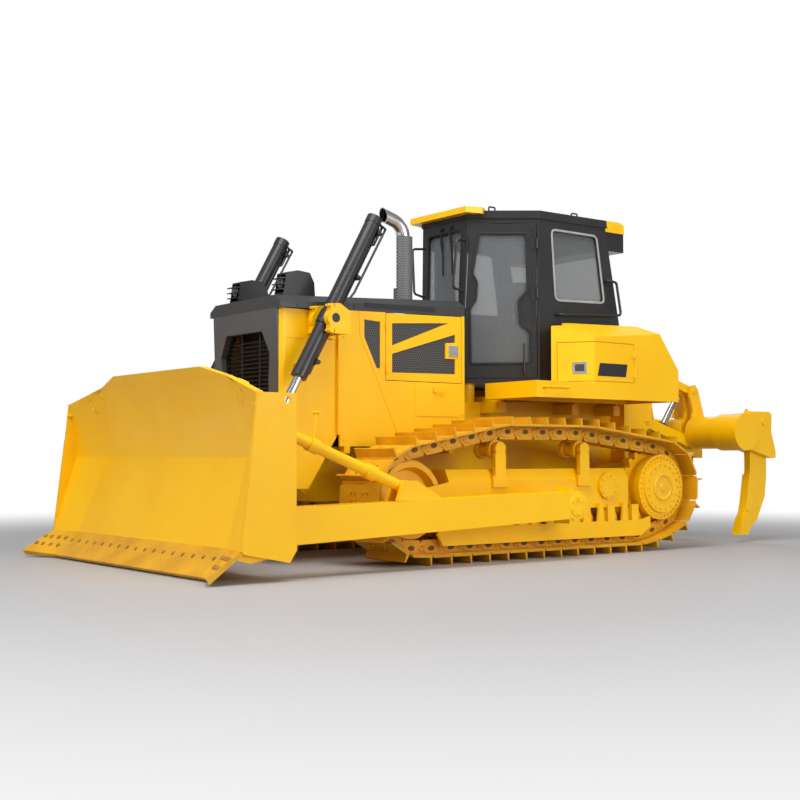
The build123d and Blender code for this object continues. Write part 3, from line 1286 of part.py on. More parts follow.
with BuildPart() as ripper_arms:
    link_bar(link_front_low, link_rear_low, 55)
    cross_round(*link_rear_low, link_pin_radius, ripper_x - pin_reach, ripper_x + pin_reach)
    middle_y = link_front_low[0] + link_reach[0] * 0.2
    middle_z = link_front_low[1] + link_reach[1] * 0.2
    block((0, ripper_x - link_width / 2), (middle_y - 40, middle_y + 40), (middle_z - 40, middle_z + 40))
    mirror(about=Plane.YZ)
save(ripper_arms, "ripper_arms")

with BuildPart() as ripper_links:
    link_bar(link_front_top, link_rear_top, 42)
    mirror(about=Plane.YZ)
save(ripper_links, "ripper_links")

shank_front_y = 3300
with BuildPart() as ripper_beam:
    cross_round(*beam_axis, beam_radius, -beam_half, beam_half)
    for side in (-1, 1):
        low, high = sorted((side * beam_half, side * (beam_half - collar_width)))
        cross_round(*beam_axis, collar_radius, low, high)
    for x in (-pocket_x, 0, pocket_x):
        side_plate([(beam_axis[0], beam_axis[1] - beam_radius), (beam_axis[0] + 150, pocket_low_z + 90),
                    (pocket_rear_y - 60, pocket_low_z), (pocket_rear_y, pocket_low_z),
                    (pocket_rear_y, pocket_low_z + 80), (pocket_rear_y - 70, 1180), (pocket_rear_y - 60, 1370),
                    (pocket_rear_y - 110, pocket_top_z), (beam_axis[0] + 60, pocket_top_z - 30),
                    (beam_axis[0], beam_axis[1] + beam_radius)], x - pocket_width / 2, x + pocket_width / 2)
        # lifting eye on the pocket, and the ends of the shank's pin
        side_plate([(3290, pocket_top_z - 60), (3300, pocket_top_z + 30), (3330, pocket_top_z + 68),
                    (3372, pocket_top_z + 68), (3402, pocket_top_z + 30), (3410, pocket_top_z - 60)],
                   x - 22, x + 22)
        cross_round(3351, pocket_top_z + 20, 24, x - 30, x + 30, mode=Mode.SUBTRACT)
        block((x - shank_thick / 2 - 0.3, x + shank_thick / 2 + 0.3), (shank_front_y - 0.3, shank_front_y + 280.3),
              (800, 1480), mode=Mode.SUBTRACT)
        for low, high in ((x - pocket_width / 2 - 14, x - pocket_width / 2 + 20),
                          (x + pocket_width / 2 - 20, x + pocket_width / 2 + 14)):
            cross_round(3452, 1290, 36, low, high)
    for side in (-1, 1):
        for x_near in (bracket_near, bracket_far):
            low, high = sorted((side * x_near, side * (x_near + ear_thick)))
            side_plate([(link_rear_low[0] - 70, link_rear_low[1] - 30), (link_rear_low[0] - 20, 985),
                        (beam_axis[0] + 60, 1000), (beam_axis[0] + 150, 1250), (link_rear_top[0] + 70, 1640),
                        (link_rear_top[0] + 20, 1700), (link_rear_top[0] - 65, 1680),
                        (link_rear_top[0] - 65, 1560), (link_rear_low[0] - 20, 1400),
                        (link_rear_low[0] - 70, 1120)], low, high)
            for y, z in (link_rear_low, link_rear_top):
                cross_round(y, z, link_pin_radius + hinge_play, low - 1, high + 1, mode=Mode.SUBTRACT)
        # slots in the tube for the eyes of the lower arms
        low, high = sorted((side * (ripper_x - link_width / 2 - ear_gap), side * (ripper_x + link_width / 2 + ear_gap)))
        block((low, high), (beam_axis[0] - 300, link_rear_low[0] + 90), (900, 1400), mode=Mode.SUBTRACT)
        for x_near in (foot_near, foot_far):
            low, high = sorted((side * x_near, side * (x_near + ear_thick)))
            side_plate([(beam_axis[0] - 50, beam_axis[1] + 150), (beam_axis[0] + 110, beam_axis[1] + 120),
                        (ripper_cyl_head[0] + 75, ripper_cyl_head[1] + 10), (ripper_cyl_head[0] + 25, ripper_cyl_head[1] + 70),
                        (ripper_cyl_head[0] - 45, ripper_cyl_head[1] + 50), (ripper_cyl_head[0] - 55, ripper_cyl_head[1] - 30),
                        (beam_axis[0] - 50, ripper_cyl_head[1] - 160)], low, high)
            cross_round(*ripper_cyl_head, link_pin_radius + hinge_play, low - 1, high + 1, mode=Mode.SUBTRACT)
save(ripper_beam, "ripper_beam")

with BuildPart() as ripper_shanks:
    for x in (-pocket_x, 0, pocket_x):
        side_plate([(shank_front_y, 1400), (shank_front_y + 280, 1400), (shank_front_y + 280, 700),
                    (shank_front_y + 250, 480), (shank_front_y + 110, 230), (shank_front_y - 110, shank_tip_z),
                    (shank_front_y - 210, shank_tip_z), (shank_front_y - 150, 260), (shank_front_y - 60, 430),
                    (shank_front_y, 760)],
                   x - shank_thick / 2, x + shank_thick / 2)
        # tooth on the shank's nose, and the guard plate on its front edge
        side_plate([(shank_front_y - 212, shank_tip_z), (shank_front_y - 60, shank_tip_z),
                    (shank_front_y + 15, 215), (shank_front_y - 70, 330), (shank_front_y - 140, 255)],
                   x - shank_thick / 2 - 16, x + shank_thick / 2 + 16)
        side_plate([(shank_front_y - 98, 340), (shank_front_y - 20, 330), (shank_front_y + 60, 480),
                    (shank_front_y + 65, 700), (shank_front_y - 22, 720), (shank_front_y - 72, 440)],
                   x - shank_thick / 2 - 10, x + shank_thick / 2 + 10)
save(ripper_shanks, "ripper_shanks")

tilt = degrees(atan2(ripper_cyl_head[1] - ripper_cyl_foot[1], ripper_cyl_head[0] - ripper_cyl_foot[0]))
rod_run = hypot(ripper_cyl_head[1] - ripper_cyl_foot[1], ripper_cyl_head[0] - ripper_cyl_foot[0])
with BuildPart() as ripper_barrels:
    bar_between(along(ripper_cyl_foot, tilt, 92), along(ripper_cyl_foot, tilt, ripper_barrel_end),
                ripper_barrel_radius, ripper_cyl_x)
    bar_between(ripper_cyl_foot, along(ripper_cyl_foot, tilt, 93), ripper_eye_width / 2 - 2, ripper_cyl_x)
    cross_round(*ripper_cyl_foot, ripper_eye_radius, ripper_cyl_x - ripper_eye_width / 2,
                ripper_cyl_x + ripper_eye_width / 2)
    cross_round(*ripper_cyl_foot, link_pin_radius, ripper_cyl_x - ripper_eye_width / 2 - ear_gap - ear_thick,
                ripper_cyl_x + ripper_eye_width / 2 + ear_gap + ear_thick)
    bar_between(along(ripper_cyl_foot, tilt, 100), along(ripper_cyl_foot, tilt, ripper_barrel_end + 1),
                ripper_rod_radius + hinge_play, ripper_cyl_x, mode=Mode.SUBTRACT)
    mirror(about=Plane.YZ)
save(ripper_barrels, "ripper_barrels")

with BuildPart() as ripper_rods:
    bar_between(along(ripper_cyl_head, tilt + 180, ripper_rod_length), ripper_cyl_head, ripper_rod_radius,
                ripper_cyl_x)
    cross_round(*ripper_cyl_head, ripper_eye_radius, ripper_cyl_x - ripper_eye_width / 2,
                ripper_cyl_x + ripper_eye_width / 2)
    mirror(about=Plane.YZ)
save(ripper_rods, "ripper_rods")
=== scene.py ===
"""Finishes, trim, seat, light and camera of the track-type bulldozer."""
import json
from math import cos, radians, sin

import bmesh
import bpy
import numpy as np
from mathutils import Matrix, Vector


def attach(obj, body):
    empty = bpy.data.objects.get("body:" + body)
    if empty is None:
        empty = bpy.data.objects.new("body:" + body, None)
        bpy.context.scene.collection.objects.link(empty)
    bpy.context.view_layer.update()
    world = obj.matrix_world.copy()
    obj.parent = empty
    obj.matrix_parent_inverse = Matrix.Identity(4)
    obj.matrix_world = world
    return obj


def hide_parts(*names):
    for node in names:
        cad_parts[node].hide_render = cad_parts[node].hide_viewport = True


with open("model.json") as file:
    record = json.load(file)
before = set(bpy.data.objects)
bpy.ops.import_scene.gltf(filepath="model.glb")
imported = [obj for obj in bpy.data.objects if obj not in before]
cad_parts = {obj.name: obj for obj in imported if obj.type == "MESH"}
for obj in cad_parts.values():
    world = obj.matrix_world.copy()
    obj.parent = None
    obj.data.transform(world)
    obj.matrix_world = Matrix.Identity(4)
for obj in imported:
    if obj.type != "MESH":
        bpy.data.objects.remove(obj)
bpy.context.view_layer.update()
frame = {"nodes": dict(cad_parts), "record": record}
nodes = frame["nodes"]


# ---------------------------------------------------------------- colour and node helpers
def linear(code):
    """Linear colour of an sRGB hex code: the sRGB curve undone on each channel."""
    parts = [int(code[i:i + 2], 16) / 255 for i in (1, 3, 5)]
    return tuple(c / 12.92 if c <= 0.04045 else ((c + 0.055) / 1.055) ** 2.4 for c in parts) + (1.0,)


def add_node(tree, kind, settings=None, links=None, stops=()):
    """Add a shader node, set its sockets or properties, link sockets given as (node, output), and give the
    stops of its colour band as (position, hex code) pairs."""
    node = tree.nodes.new(kind)
    for key, value in (settings or {}).items():
        if isinstance(key, int) or key in node.inputs:
            node.inputs[key].default_value = value
        else:
            setattr(node, key, value)
    for key, (source, output) in (links or {}).items():
        tree.links.new(source.outputs[output], node.inputs[key])
    if stops:
        for element, (position, code) in zip(node.color_ramp.elements, stops):
            element.position = position
            element.color = linear(code)
    return node


def new_material(name):
    """Empty node material: the material, its tree, its output and its object coordinates."""
    material = bpy.data.materials.new(name)
    material.use_nodes = True
    tree = material.node_tree
    tree.nodes.clear()
    output = add_node(tree, "ShaderNodeOutputMaterial")
    place = add_node(tree, "ShaderNodeTexCoord")
    return material, tree, output, place


# ---------------------------------------------------------------- finishes
def machine_enamel(name, colour, shade, roughness=0.33, coat=0.25):
    """Two-pack polyurethane enamel sprayed on plate: broad tint drift, orange peel under a thin gloss."""
    material, tree, output, place = new_material(name)
    drift = add_node(tree, "ShaderNodeTexNoise", {"Scale": 1.3, "Detail": 3.0, "Roughness": 0.55},
                     {"Vector": (place, "Object")})
    tint = add_node(tree, "ShaderNodeValToRGB", {}, {"Fac": (drift, "Fac")},
                    stops=[(0.3, shade), (0.62, colour)])
    # orange peel is 2 to 3 mm across on the real paint
    peel = add_node(tree, "ShaderNodeTexNoise", {"Scale": 260.0, "Detail": 1.0},
                    {"Vector": (place, "Object")})
    bump = add_node(tree, "ShaderNodeBump", {"Strength": 0.05, "Distance": 0.0006},
                    {"Height": (peel, "Fac")})
    # faint haze of handling dust that dulls the gloss in patches 100 to 300 mm across
    haze = add_node(tree, "ShaderNodeTexNoise", {"Scale": 6.0, "Detail": 4.0},
                    {"Vector": (place, "Object")})
    dull = add_node(tree, "ShaderNodeMapRange", {"From Min": 0.3, "From Max": 0.75,
                                                 "To Min": roughness - 0.05, "To Max": roughness + 0.1},
                    {"Value": (haze, "Fac")})
    shader = add_node(tree, "ShaderNodeBsdfPrincipled", {"Coat Weight": coat, "Coat Roughness": 0.12,
                                                         "Specular IOR Level": 0.35},
                      {"Base Color": (tint, "Color"), "Roughness": (dull, "Result"),
                       "Normal": (bump, "Normal")})
    tree.links.new(shader.outputs["BSDF"], output.inputs["Surface"])
    return material


def bare_metal(name, colour, streak, roughness, scale=(4.0, 60.0, 4.0), metallic=1.0):
    """Ground or rolled metal: fine streaks along the piece give a drawn highlight."""
    material, tree, output, place = new_material(name)
    stretch = add_node(tree, "ShaderNodeMapping", {"Scale": scale}, {"Vector": (place, "Object")})
    grain = add_node(tree, "ShaderNodeTexNoise", {"Scale": 6.0, "Detail": 5.0},
                     {"Vector": (stretch, "Vector")})
    tint = add_node(tree, "ShaderNodeValToRGB", {}, {"Fac": (grain, "Fac")},
                    stops=[(0.3, streak), (0.7, colour)])
    rough = add_node(tree, "ShaderNodeMapRange", {"To Min": roughness - 0.06, "To Max": roughness + 0.08},
                     {"Value": (grain, "Fac")})
    shader = add_node(tree, "ShaderNodeBsdfPrincipled", {"Metallic": metallic},
                      {"Base Color": (tint, "Color"), "Roughness": (rough, "Result")})
    tree.links.new(shader.outputs["BSDF"], output.inputs["Surface"])
    return material


def cast_paint(name, colour, shade, roughness=0.42):
    """Enamel over forged or cast steel: the skin's 4 to 8 mm unevenness shows through the paint."""
    material, tree, output, place = new_material(name)
    drift = add_node(tree, "ShaderNodeTexNoise", {"Scale": 3.5, "Detail": 4.0},
                     {"Vector": (place, "Object")})
    tint = add_node(tree, "ShaderNodeValToRGB", {}, {"Fac": (drift, "Fac")},
                    stops=[(0.3, shade), (0.65, colour)])
    skin = add_node(tree, "ShaderNodeTexNoise", {"Scale": 130.0, "Detail": 3.0},
                    {"Vector": (place, "Object")})
    bump = add_node(tree, "ShaderNodeBump", {"Strength": 0.18, "Distance": 0.0015},
                    {"Height": (skin, "Fac")})
    shader = add_node(tree, "ShaderNodeBsdfPrincipled", {"Roughness": roughness, "Coat Weight": 0.12},
                      {"Base Color": (tint, "Color"), "Normal": (bump, "Normal")})
    tree.links.new(shader.outputs["BSDF"], output.inputs["Surface"])
    return material


def moulded_plastic(name, colour, shade, grain=420.0, roughness=0.55):
    """ABS or polypropylene from a textured mould: fine leather grain about 1.5 mm across, low sheen."""
    material, tree, output, place = new_material(name)
    drift = add_node(tree, "ShaderNodeTexNoise", {"Scale": 8.0}, {"Vector": (place, "Object")})
    tint = add_node(tree, "ShaderNodeValToRGB", {}, {"Fac": (drift, "Fac")},
                    stops=[(0.35, shade), (0.65, colour)])
    cells = add_node(tree, "ShaderNodeTexVoronoi", {"Scale": grain}, {"Vector": (place, "Object")})
    bump = add_node(tree, "ShaderNodeBump", {"Strength": 0.12, "Distance": 0.0005},
                    {"Height": (cells, "Distance")})
    shader = add_node(tree, "ShaderNodeBsdfPrincipled", {"Roughness": roughness},
                      {"Base Color": (tint, "Color"), "Normal": (bump, "Normal")})
    tree.links.new(shader.outputs["BSDF"], output.inputs["Surface"])
    return material


def cab_glazing(name):
    """Tinted toughened glass: grey body tint with a clean reflective face."""
    material, tree, output, place = new_material(name)
    wave = add_node(tree, "ShaderNodeTexNoise", {"Scale": 1.1, "Detail": 1.0},
                    {"Vector": (place, "Object")})
    bump = add_node(tree, "ShaderNodeBump", {"Strength": 0.03, "Distance": 0.002},
                    {"Height": (wave, "Fac")})
    shader = add_node(tree, "ShaderNodeBsdfPrincipled",
                      {"Base Color": linear("#7E8285"), "Roughness": 0.03, "IOR": 1.45, "Alpha": 0.42},
                      {"Normal": (bump, "Normal")})
    tree.links.new(shader.outputs["BSDF"], output.inputs["Surface"])
    return material


def perforated_sheet(name, colour, hole_shade, pitch):
    """Punched steel sheet, painted: staggered round perforations, drawn coarse enough to show; each is
    coloured dark as painted shade for the gloom seen through it.
    """
    material, tree, output, place = new_material(name)
    spaced = add_node(tree, "ShaderNodeMapping", {"Scale": (0.0, 1 / pitch, 0.577 / pitch)},
                      {"Vector": (place, "Object")})
    dots = []
    for shift in (0.0, 0.5):
        moved = add_node(tree, "ShaderNodeVectorMath", {"operation": "ADD", 1: (0.0, shift, shift)},
                         {0: (spaced, "Vector")})
        cell = add_node(tree, "ShaderNodeVectorMath", {"operation": "FRACTION"}, {0: (moved, "Vector")})
        centred = add_node(tree, "ShaderNodeVectorMath", {"operation": "SUBTRACT", 1: (0.0, 0.5, 0.5)},
                           {0: (cell, "Vector")})
        round_cell = add_node(tree, "ShaderNodeVectorMath", {"operation": "MULTIPLY", 1: (0.0, 1.0, 1.732)},
                              {0: (centred, "Vector")})
        dots.append(add_node(tree, "ShaderNodeVectorMath", {"operation": "LENGTH"},
                             {0: (round_cell, "Vector")}))
    nearest = add_node(tree, "ShaderNodeMath", {"operation": "MINIMUM"},
                       {0: (dots[0], "Value"), 1: (dots[1], "Value")})
    # the perforations take the dark colour: painted shade for the space behind the sheet
    tint = add_node(tree, "ShaderNodeValToRGB", {}, {"Fac": (nearest, 0)},
                    stops=[(0.30, hole_shade), (0.40, colour)])
    bump = add_node(tree, "ShaderNodeBump", {"Strength": 0.6, "Distance": 0.002}, {"Height": (nearest, 0)})
    shader = add_node(tree, "ShaderNodeBsdfPrincipled", {"Roughness": 0.5},
                      {"Base Color": (tint, "Color"), "Normal": (bump, "Normal")})
    tree.links.new(shader.outputs["BSDF"], output.inputs["Surface"])
    return material


def woven_cloth(name, colour, shade, thread):
    """Polyester upholstery: two crossed waves of thread give the weave, with a soft sheen."""
    material, tree, output, place = new_material(name)
    waves = [add_node(tree, "ShaderNodeTexWave", {"bands_direction": way, "Scale": 0.159 / thread,
                                                  "Distortion": 0.6}, {"Vector": (place, "Object")})
             for way in ("X", "DIAGONAL")]
    weave = add_node(tree, "ShaderNodeMath", {"operation": "MAXIMUM"},
                     {0: (waves[0], "Fac"), 1: (waves[1], "Fac")})
    tint = add_node(tree, "ShaderNodeValToRGB", {}, {"Fac": (weave, 0)},
                    stops=[(0.2, shade), (0.8, colour)])
    bump = add_node(tree, "ShaderNodeBump", {"Strength": 0.3, "Distance": 0.0008}, {"Height": (weave, 0)})
    shader = add_node(tree, "ShaderNodeBsdfPrincipled", {"Roughness": 0.9, "Sheen Weight": 0.3},
                      {"Base Color": (tint, "Color"), "Normal": (bump, "Normal")})
    tree.links.new(shader.outputs["BSDF"], output.inputs["Surface"])
    return material


yellow = machine_enamel("yellow_enamel", "#FCC400", "#F7BA00", roughness=0.36, coat=0.12)
blade_yellow = machine_enamel("blade_enamel", "#FBC103", "#F6B802", roughness=0.42, coat=0.08)
track_yellow = cast_paint("track_enamel", "#E3A805", "#C98F04", 0.5)
casting_yellow = cast_paint("casting_enamel", "#F6BC02", "#E9AC02", 0.42)
charcoal = machine_enamel("charcoal_enamel", "#29292A", "#222223", roughness=0.36, coat=0.2)
hood_grey = machine_enamel("hood_enamel", "#3B3B3C", "#343435", roughness=0.4, coat=0.15)
cowl_grey = machine_enamel("cowl_enamel", "#525253", "#4B4B4C", roughness=0.45, coat=0.1)
chrome = bare_metal("hard_chrome", "#C9CACC", "#C5C6C8", 0.14, (3.0, 3.0, 3.0))
pipe_chrome = bare_metal("polished_pipe", "#CFCFCF", "#C2C2C2", 0.2, (3.0, 3.0, 30.0))
shield_steel = bare_metal("shield_steel", "#4B4B4C", "#404041", 0.5, (3.0, 3.0, 3.0), 0.6)
# dark dots on the exhaust shield: painted shade for the space seen through its perforations
punched_shield = perforated_sheet("punched_shield_steel", "#77787A", "#2A2A2B", 0.018)
iron = cast_paint("engine_enamel", "#3B3C3E", "#323335", 0.5)
glazing = cab_glazing("cab_glazing")
trim = moulded_plastic("trim_plastic", "#3C3C3E", "#353537")
weave = woven_cloth("seat_cloth", "#46484D", "#2E3034", 0.004)
rubber = moulded_plastic("epdm_rubber", "#1B1B1C", "#151516", 500.0, 0.7)
pale_rubber = moulded_plastic("grey_glazing_seal", "#A5A6A2", "#999A97", 500.0, 0.6)
zinc = bare_metal("zinc_plated_steel", "#B4B6B8", "#9C9EA1", 0.38, (9.0, 9.0, 9.0))
# near-black dots on the sheets behind the side openings: painted shade for the engine bay seen through them
punched = perforated_sheet("punched_sheet", "#4C4C4D", "#070707", 0.024)
lens = cab_glazing("lamp_lens")
# the plough bolt heads on the cutting edge and end bits get a darker brown-yellow enamel than the blade
dark_bolt = cast_paint("dark_bolt_head", "#A87308", "#7E5507", 0.55)
# painted shade: a dark brown-yellow that stands for the shadow in the forged links' pockets
painted_pocket_shade = cast_paint("link_pocket_painted_shade", "#6E4C08", "#553A06", 0.7)
dark_blank = machine_enamel("blank_plate_enamel", "#262627", "#202021", roughness=0.5, coat=0.05)

finish_of = {"cowl_paint": cowl_grey, "yellow_paint": yellow, "blade_paint": blade_yellow,
             "hood_paint": hood_grey, "dark_paint": charcoal, "wear_steel": track_yellow,
             "track_steel": track_yellow, "cast_wheels": casting_yellow, "engine_iron": iron,
             "chrome_pipe": pipe_chrome, "chrome_rod": chrome, "steel_shield": shield_steel,
             "glass": glazing, "trim_plastic": trim, "seat_fabric": weave}
slot_of = {part["node"]: part["material_slot"] for part in frame["record"]["subparts"]}
for name, thing in nodes.items():
    thing.data.materials.clear()
    thing.data.materials.append(finish_of[slot_of[name]])


# ---------------------------------------------------------------- making pieces
def grid_faces(rows, columns, closed_columns=True):
    """Quads that join neighbouring points of a grid; the columns close on themselves where asked."""
    row = np.arange(rows - 1)[:, None]
    column = np.arange(columns if closed_columns else columns - 1)[None, :]
    after = (column + 1) % columns
    quads = np.stack([row * columns + column, row * columns + after,
                      (row + 1) * columns + after, (row + 1) * columns + column], axis=-1)
    return quads.reshape(-1, 4)


def make_piece(name, points, faces, material, body, smooth=False):
    """Piece from points and faces; doubles are merged, faces turned outwards, and it rides on a body."""
    mesh = bpy.data.meshes.new(name)
    mesh.from_pydata(np.asarray(points, float).reshape(-1, 3).tolist(), [],
                     [list(map(int, face)) for face in faces])
    shape = bmesh.new()
    shape.from_mesh(mesh)
    bmesh.ops.remove_doubles(shape, verts=shape.verts, dist=1e-6)
    bmesh.ops.recalc_face_normals(shape, faces=shape.faces)
    shape.to_mesh(mesh)
    shape.free()
    if smooth:
        mesh.shade_smooth()
    mesh.materials.append(material)
    piece = bpy.data.objects.new(name, mesh)
    bpy.context.scene.collection.objects.link(piece)
    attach(piece, body)
    return piece


def unit(vector):
    """Vectors divided by their lengths, along the last axis."""
    vector = np.asarray(vector, float)
    return vector / np.linalg.norm(vector, axis=-1, keepdims=True)


def signed_power(value, exponent):
    """The size of each value raised to a power, with its sign kept."""
    return np.sign(value) * np.abs(value) ** exponent


def turned_pieces(name, seats, facing, profile, sides, material, body, smooth=False):
    """Bodies of revolution at each seat: rings of (radius, height) about the facing direction.

    Point = seat + height * facing + radius * (u cos a + v sin a), a in equal steps of a turn.
    """
    seats = np.asarray(seats, float).reshape(-1, 3)
    facing = np.broadcast_to(unit(facing), seats.shape)
    helper = np.where(np.abs(facing[:, :1]) > 0.9, [[0.0, 0.0, 1.0]], [[1.0, 0.0, 0.0]])
    u = unit(np.cross(facing, helper))
    v = np.cross(facing, u)
    turn = np.arange(sides) * 2 * np.pi / sides
    radius, height = np.asarray(profile, float).T
    round_part = (u[:, None, None] * np.cos(turn)[:, None] + v[:, None, None] * np.sin(turn)[:, None])
    points = (seats[:, None, None] + facing[:, None, None] * height[:, None, None]
              + round_part * radius[:, None, None])
    faces = grid_faces(len(profile), sides)
    shift = np.arange(len(seats))[:, None, None] * len(profile) * sides
    return make_piece(name, points, (faces + shift).reshape(-1, 4), material, body, smooth)


def rounded_loop(corners, radius, steps=6):
    """Closed outline whose corners are parabolas: quadratic blends of the points at radius either side."""
    corners = np.asarray(corners, float)
    before = corners + unit(np.roll(corners, 1, 0) - corners) * radius
    after = corners + unit(np.roll(corners, -1, 0) - corners) * radius
    t = np.linspace(0, 1, steps)[None, :, None]
    arcs = (1 - t) ** 2 * before[:, None] + 2 * t * (1 - t) * corners[:, None] + t ** 2 * after[:, None]
    return arcs.reshape(-1, 3)


def carried_profile(name, path, up, profile, material, body, closed=True, smooth=False):
    """A closed profile of (aside, up) points carried along a flat path; ends of an open path are capped."""
    path, up = np.asarray(path, float), unit(up)
    ahead = unit(np.roll(path, -1, 0) - np.roll(path, 1, 0)) if closed else unit(np.gradient(path, axis=0))
    aside = unit(np.cross(ahead, up))
    profile = np.asarray(profile, float)
    points = path[:, None] + aside[:, None] * profile[:, :1] + up * profile[:, 1:]
    faces = grid_faces(len(path), len(profile)).tolist()
    if closed:
        last = (len(path) - 1) * len(profile)
        k = np.arange(len(profile))
        after = (k + 1) % len(profile)
        faces += np.stack([last + k, last + after, after, k], axis=-1).tolist()
    else:
        faces += [list(range(len(profile))), list(range((len(path) - 1) * len(profile),
                                                        len(path) * len(profile)))]
    return make_piece(name, points, faces, material, body, smooth)


def slabs(name, outlines, out, thickness, material, body, bevel=0.0012):
    """Flat plates, one on each outline: three rings, the last drawn in by the bevel, both ends closed."""
    outlines = np.asarray(outlines, float)
    outlines = outlines.reshape(-1, *outlines.shape[-2:])
    out = unit(out)
    middle = outlines.mean(axis=1, keepdims=True)
    drawn = middle + (outlines - middle) * (1 - 2 * bevel / np.ptp(outlines[0], axis=0).max())
    rings = np.stack([outlines, outlines + out * (thickness - bevel), drawn + out * thickness], axis=1)
    number, _, count, _ = rings.shape
    first = np.arange(number)[:, None] * 3 * count
    walls = grid_faces(3, count)[None] + first[:, :, None]
    loop = np.arange(count)[None] + first
    faces = walls.reshape(-1, 4).tolist() + loop.tolist() + (loop + 2 * count).tolist()
    return make_piece(name, rings, faces, material, body)


def slab(name, corners, out, thickness, material, body, bevel=0.0012):
    """One flat plate on an outline."""
    return slabs(name, [corners], out, thickness, material, body, bevel)


def round_profile(radius, sides=8):
    """Points of a circle, for a tube."""
    turn = np.arange(sides) * 2 * np.pi / sides
    return np.stack([radius * np.cos(turn), radius * np.sin(turn)], axis=-1)


def hex_head(size, height):
    """Rings of a bolt head over its washer: across-corner radius size."""
    return [(0, -0.2 * height), (1.35 * size, -0.2 * height), (1.35 * size, 0.22 * height),
            (size, 0.22 * height), (size, 0.86 * height), (0.84 * size, height), (0, height)]


def round_head(size, height):
    """Rings of a domed square-neck bolt head."""
    return [(0, -0.3 * height), (size, -0.3 * height), (size, 0.2 * height), (0.8 * size, 0.75 * height),
            (0.4 * size, height), (0, height)]


def circle_of_seats(centre, radius, count, start=0.0):
    """Points on a circle in a plane of constant x."""
    turn = start + np.arange(count) * 2 * np.pi / count
    return np.stack([np.full(count, centre[0]), centre[1] + radius * np.cos(turn),
                     centre[2] + radius * np.sin(turn)], axis=-1)


def both_sides(points):
    """Points and their mirror images across the middle plane."""
    points = np.asarray(points, float).reshape(-1, 3)
    return np.concatenate([points, points * (-1, 1, 1)])


def both_facing(direction, count):
    """A direction for the first count seats and its mirror image for the next count."""
    direction = np.broadcast_to(np.asarray(direction, float), (count, 3))
    return np.concatenate([direction, direction * (-1, 1, 1)])


# ---------------------------------------------------------------- blade skin and exhaust shield
def copied_points(node, name):
    """A merged copy of a node's mesh, with its points as an array."""
    mesh = nodes[node].data.copy()
    mesh.name = name
    shape = bmesh.new()
    shape.from_mesh(mesh)
    bmesh.ops.remove_doubles(shape, verts=shape.verts, dist=1e-5)
    shape.to_mesh(mesh)
    shape.free()
    points = np.empty(len(mesh.vertices) * 3)
    mesh.vertices.foreach_get("co", points)
    return mesh, points.reshape(-1, 3)


def stand_in(mesh, points, node, body):
    """Piece from a copied mesh with moved points, in place of its node; flat slivers are dissolved."""
    mesh.vertices.foreach_set("co", points.ravel())
    shape = bmesh.new()
    shape.from_mesh(mesh)
    bmesh.ops.remove_doubles(shape, verts=shape.verts, dist=1e-5)
    bmesh.ops.dissolve_degenerate(shape, edges=shape.edges, dist=1e-5)
    shape.to_mesh(mesh)
    shape.free()
    piece = bpy.data.objects.new(mesh.name, mesh)
    bpy.context.scene.collection.objects.link(piece)
    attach(piece, body)
    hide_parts(node)
    return piece


# the wings' faces run smooth past the shoulders: a boss's cap point takes the depth of the point on the
# wing's face that shares its x and z
boss_x, boss_z, boss_radius, boss_cap_y = 1.265, 1.420, 0.100, -3.180
mesh, points = copied_points("blade", "blade_skin")
off_rim = np.abs(np.hypot(np.abs(points[:, 0]) - boss_x, points[:, 2] - boss_z) - boss_radius)
nearness, wing_face_y = 5e-4, -3.090
on_cap = (off_rim < nearness) & (np.abs(points[:, 1] - boss_cap_y) < nearness)
on_face = (off_rim < nearness) & ~on_cap & (points[:, 1] < wing_face_y)
gap = np.linalg.norm(points[on_cap][:, None, ::2] - points[on_face][None, :, ::2], axis=-1)
points[on_cap, 1] = points[on_face][gap.argmin(axis=1), 1]
stand_in(mesh, points, "blade", "work_frame")

# the shield is turned to the operator's left side of the stack
stack = np.array((0.350, -0.880))
shield_turn = np.radians(-80.0)
mesh, points = copied_points("exhaust_guard", "exhaust_shield")
around = np.array(((np.cos(shield_turn), -np.sin(shield_turn)), (np.sin(shield_turn), np.cos(shield_turn))))
points[:, :2] = (points[:, :2] - stack) @ around.T + stack
shield = stand_in(mesh, points, "exhaust_guard", "tractor")
shield.data.materials.clear()
shield.data.materials.append(punched_shield)

# ---------------------------------------------------------------- places that the trim sits on
LEFT, RIGHT = 1, -1
side_name = {LEFT: "left", RIGHT: "right"}
flip = {LEFT: np.array((1.0, 1.0, 1.0)), RIGHT: np.array((-1.0, 1.0, 1.0))}

blade_foot = np.array((-3.291, 0.234))
blade_tip = np.array((-3.498, 0.034))
edge_long = np.linalg.norm(blade_foot - blade_tip)
edge_up = (blade_foot - blade_tip) / edge_long
edge_ahead = np.array((-edge_up[1], edge_up[0]))

hood_side_x = 0.600
drive_centre = (1.212, 1.665, 0.612)
cab_corner_front = np.array((0.300, -0.148))
cab_corner_wide = np.array((0.770, 0.452))
cab_corner_rear = np.array((0.790, 1.540))
box_corner_in = np.array((0.940, 0.440))
box_corner_out = np.array((1.300, 0.655))


def wall_points(start, end, along_up, out):
    """Points on an upright wall from (along, up) pairs, moved out of the cab by out."""
    run = unit(np.append(end - start, 0.0))
    normal = np.array((run[1], -run[0], 0.0))
    along_up = np.asarray(along_up, float)
    origin = np.array((start[0], start[1], 0.0))
    return origin + run * along_up[:, :1] + np.array((0, 0, 1.0)) * along_up[:, 1:] + normal * out, normal


# ---------------------------------------------------------------- bolts
# two rows of plough bolts through the cutting edge, and two rows on each end bit
edge_bolt_count = 17
edge_x = np.linspace(-1.30, 1.30, edge_bolt_count)
row = blade_foot - edge_up * 0.105
edge_seats = np.stack([edge_x, np.full(edge_bolt_count, row[0]), np.full(edge_bolt_count, row[1])], axis=-1)
turned_pieces("edge_bolts", edge_seats, (0, edge_ahead[0], edge_ahead[1]), round_head(0.021, 0.007), 12,
              dark_bolt, "work_frame")

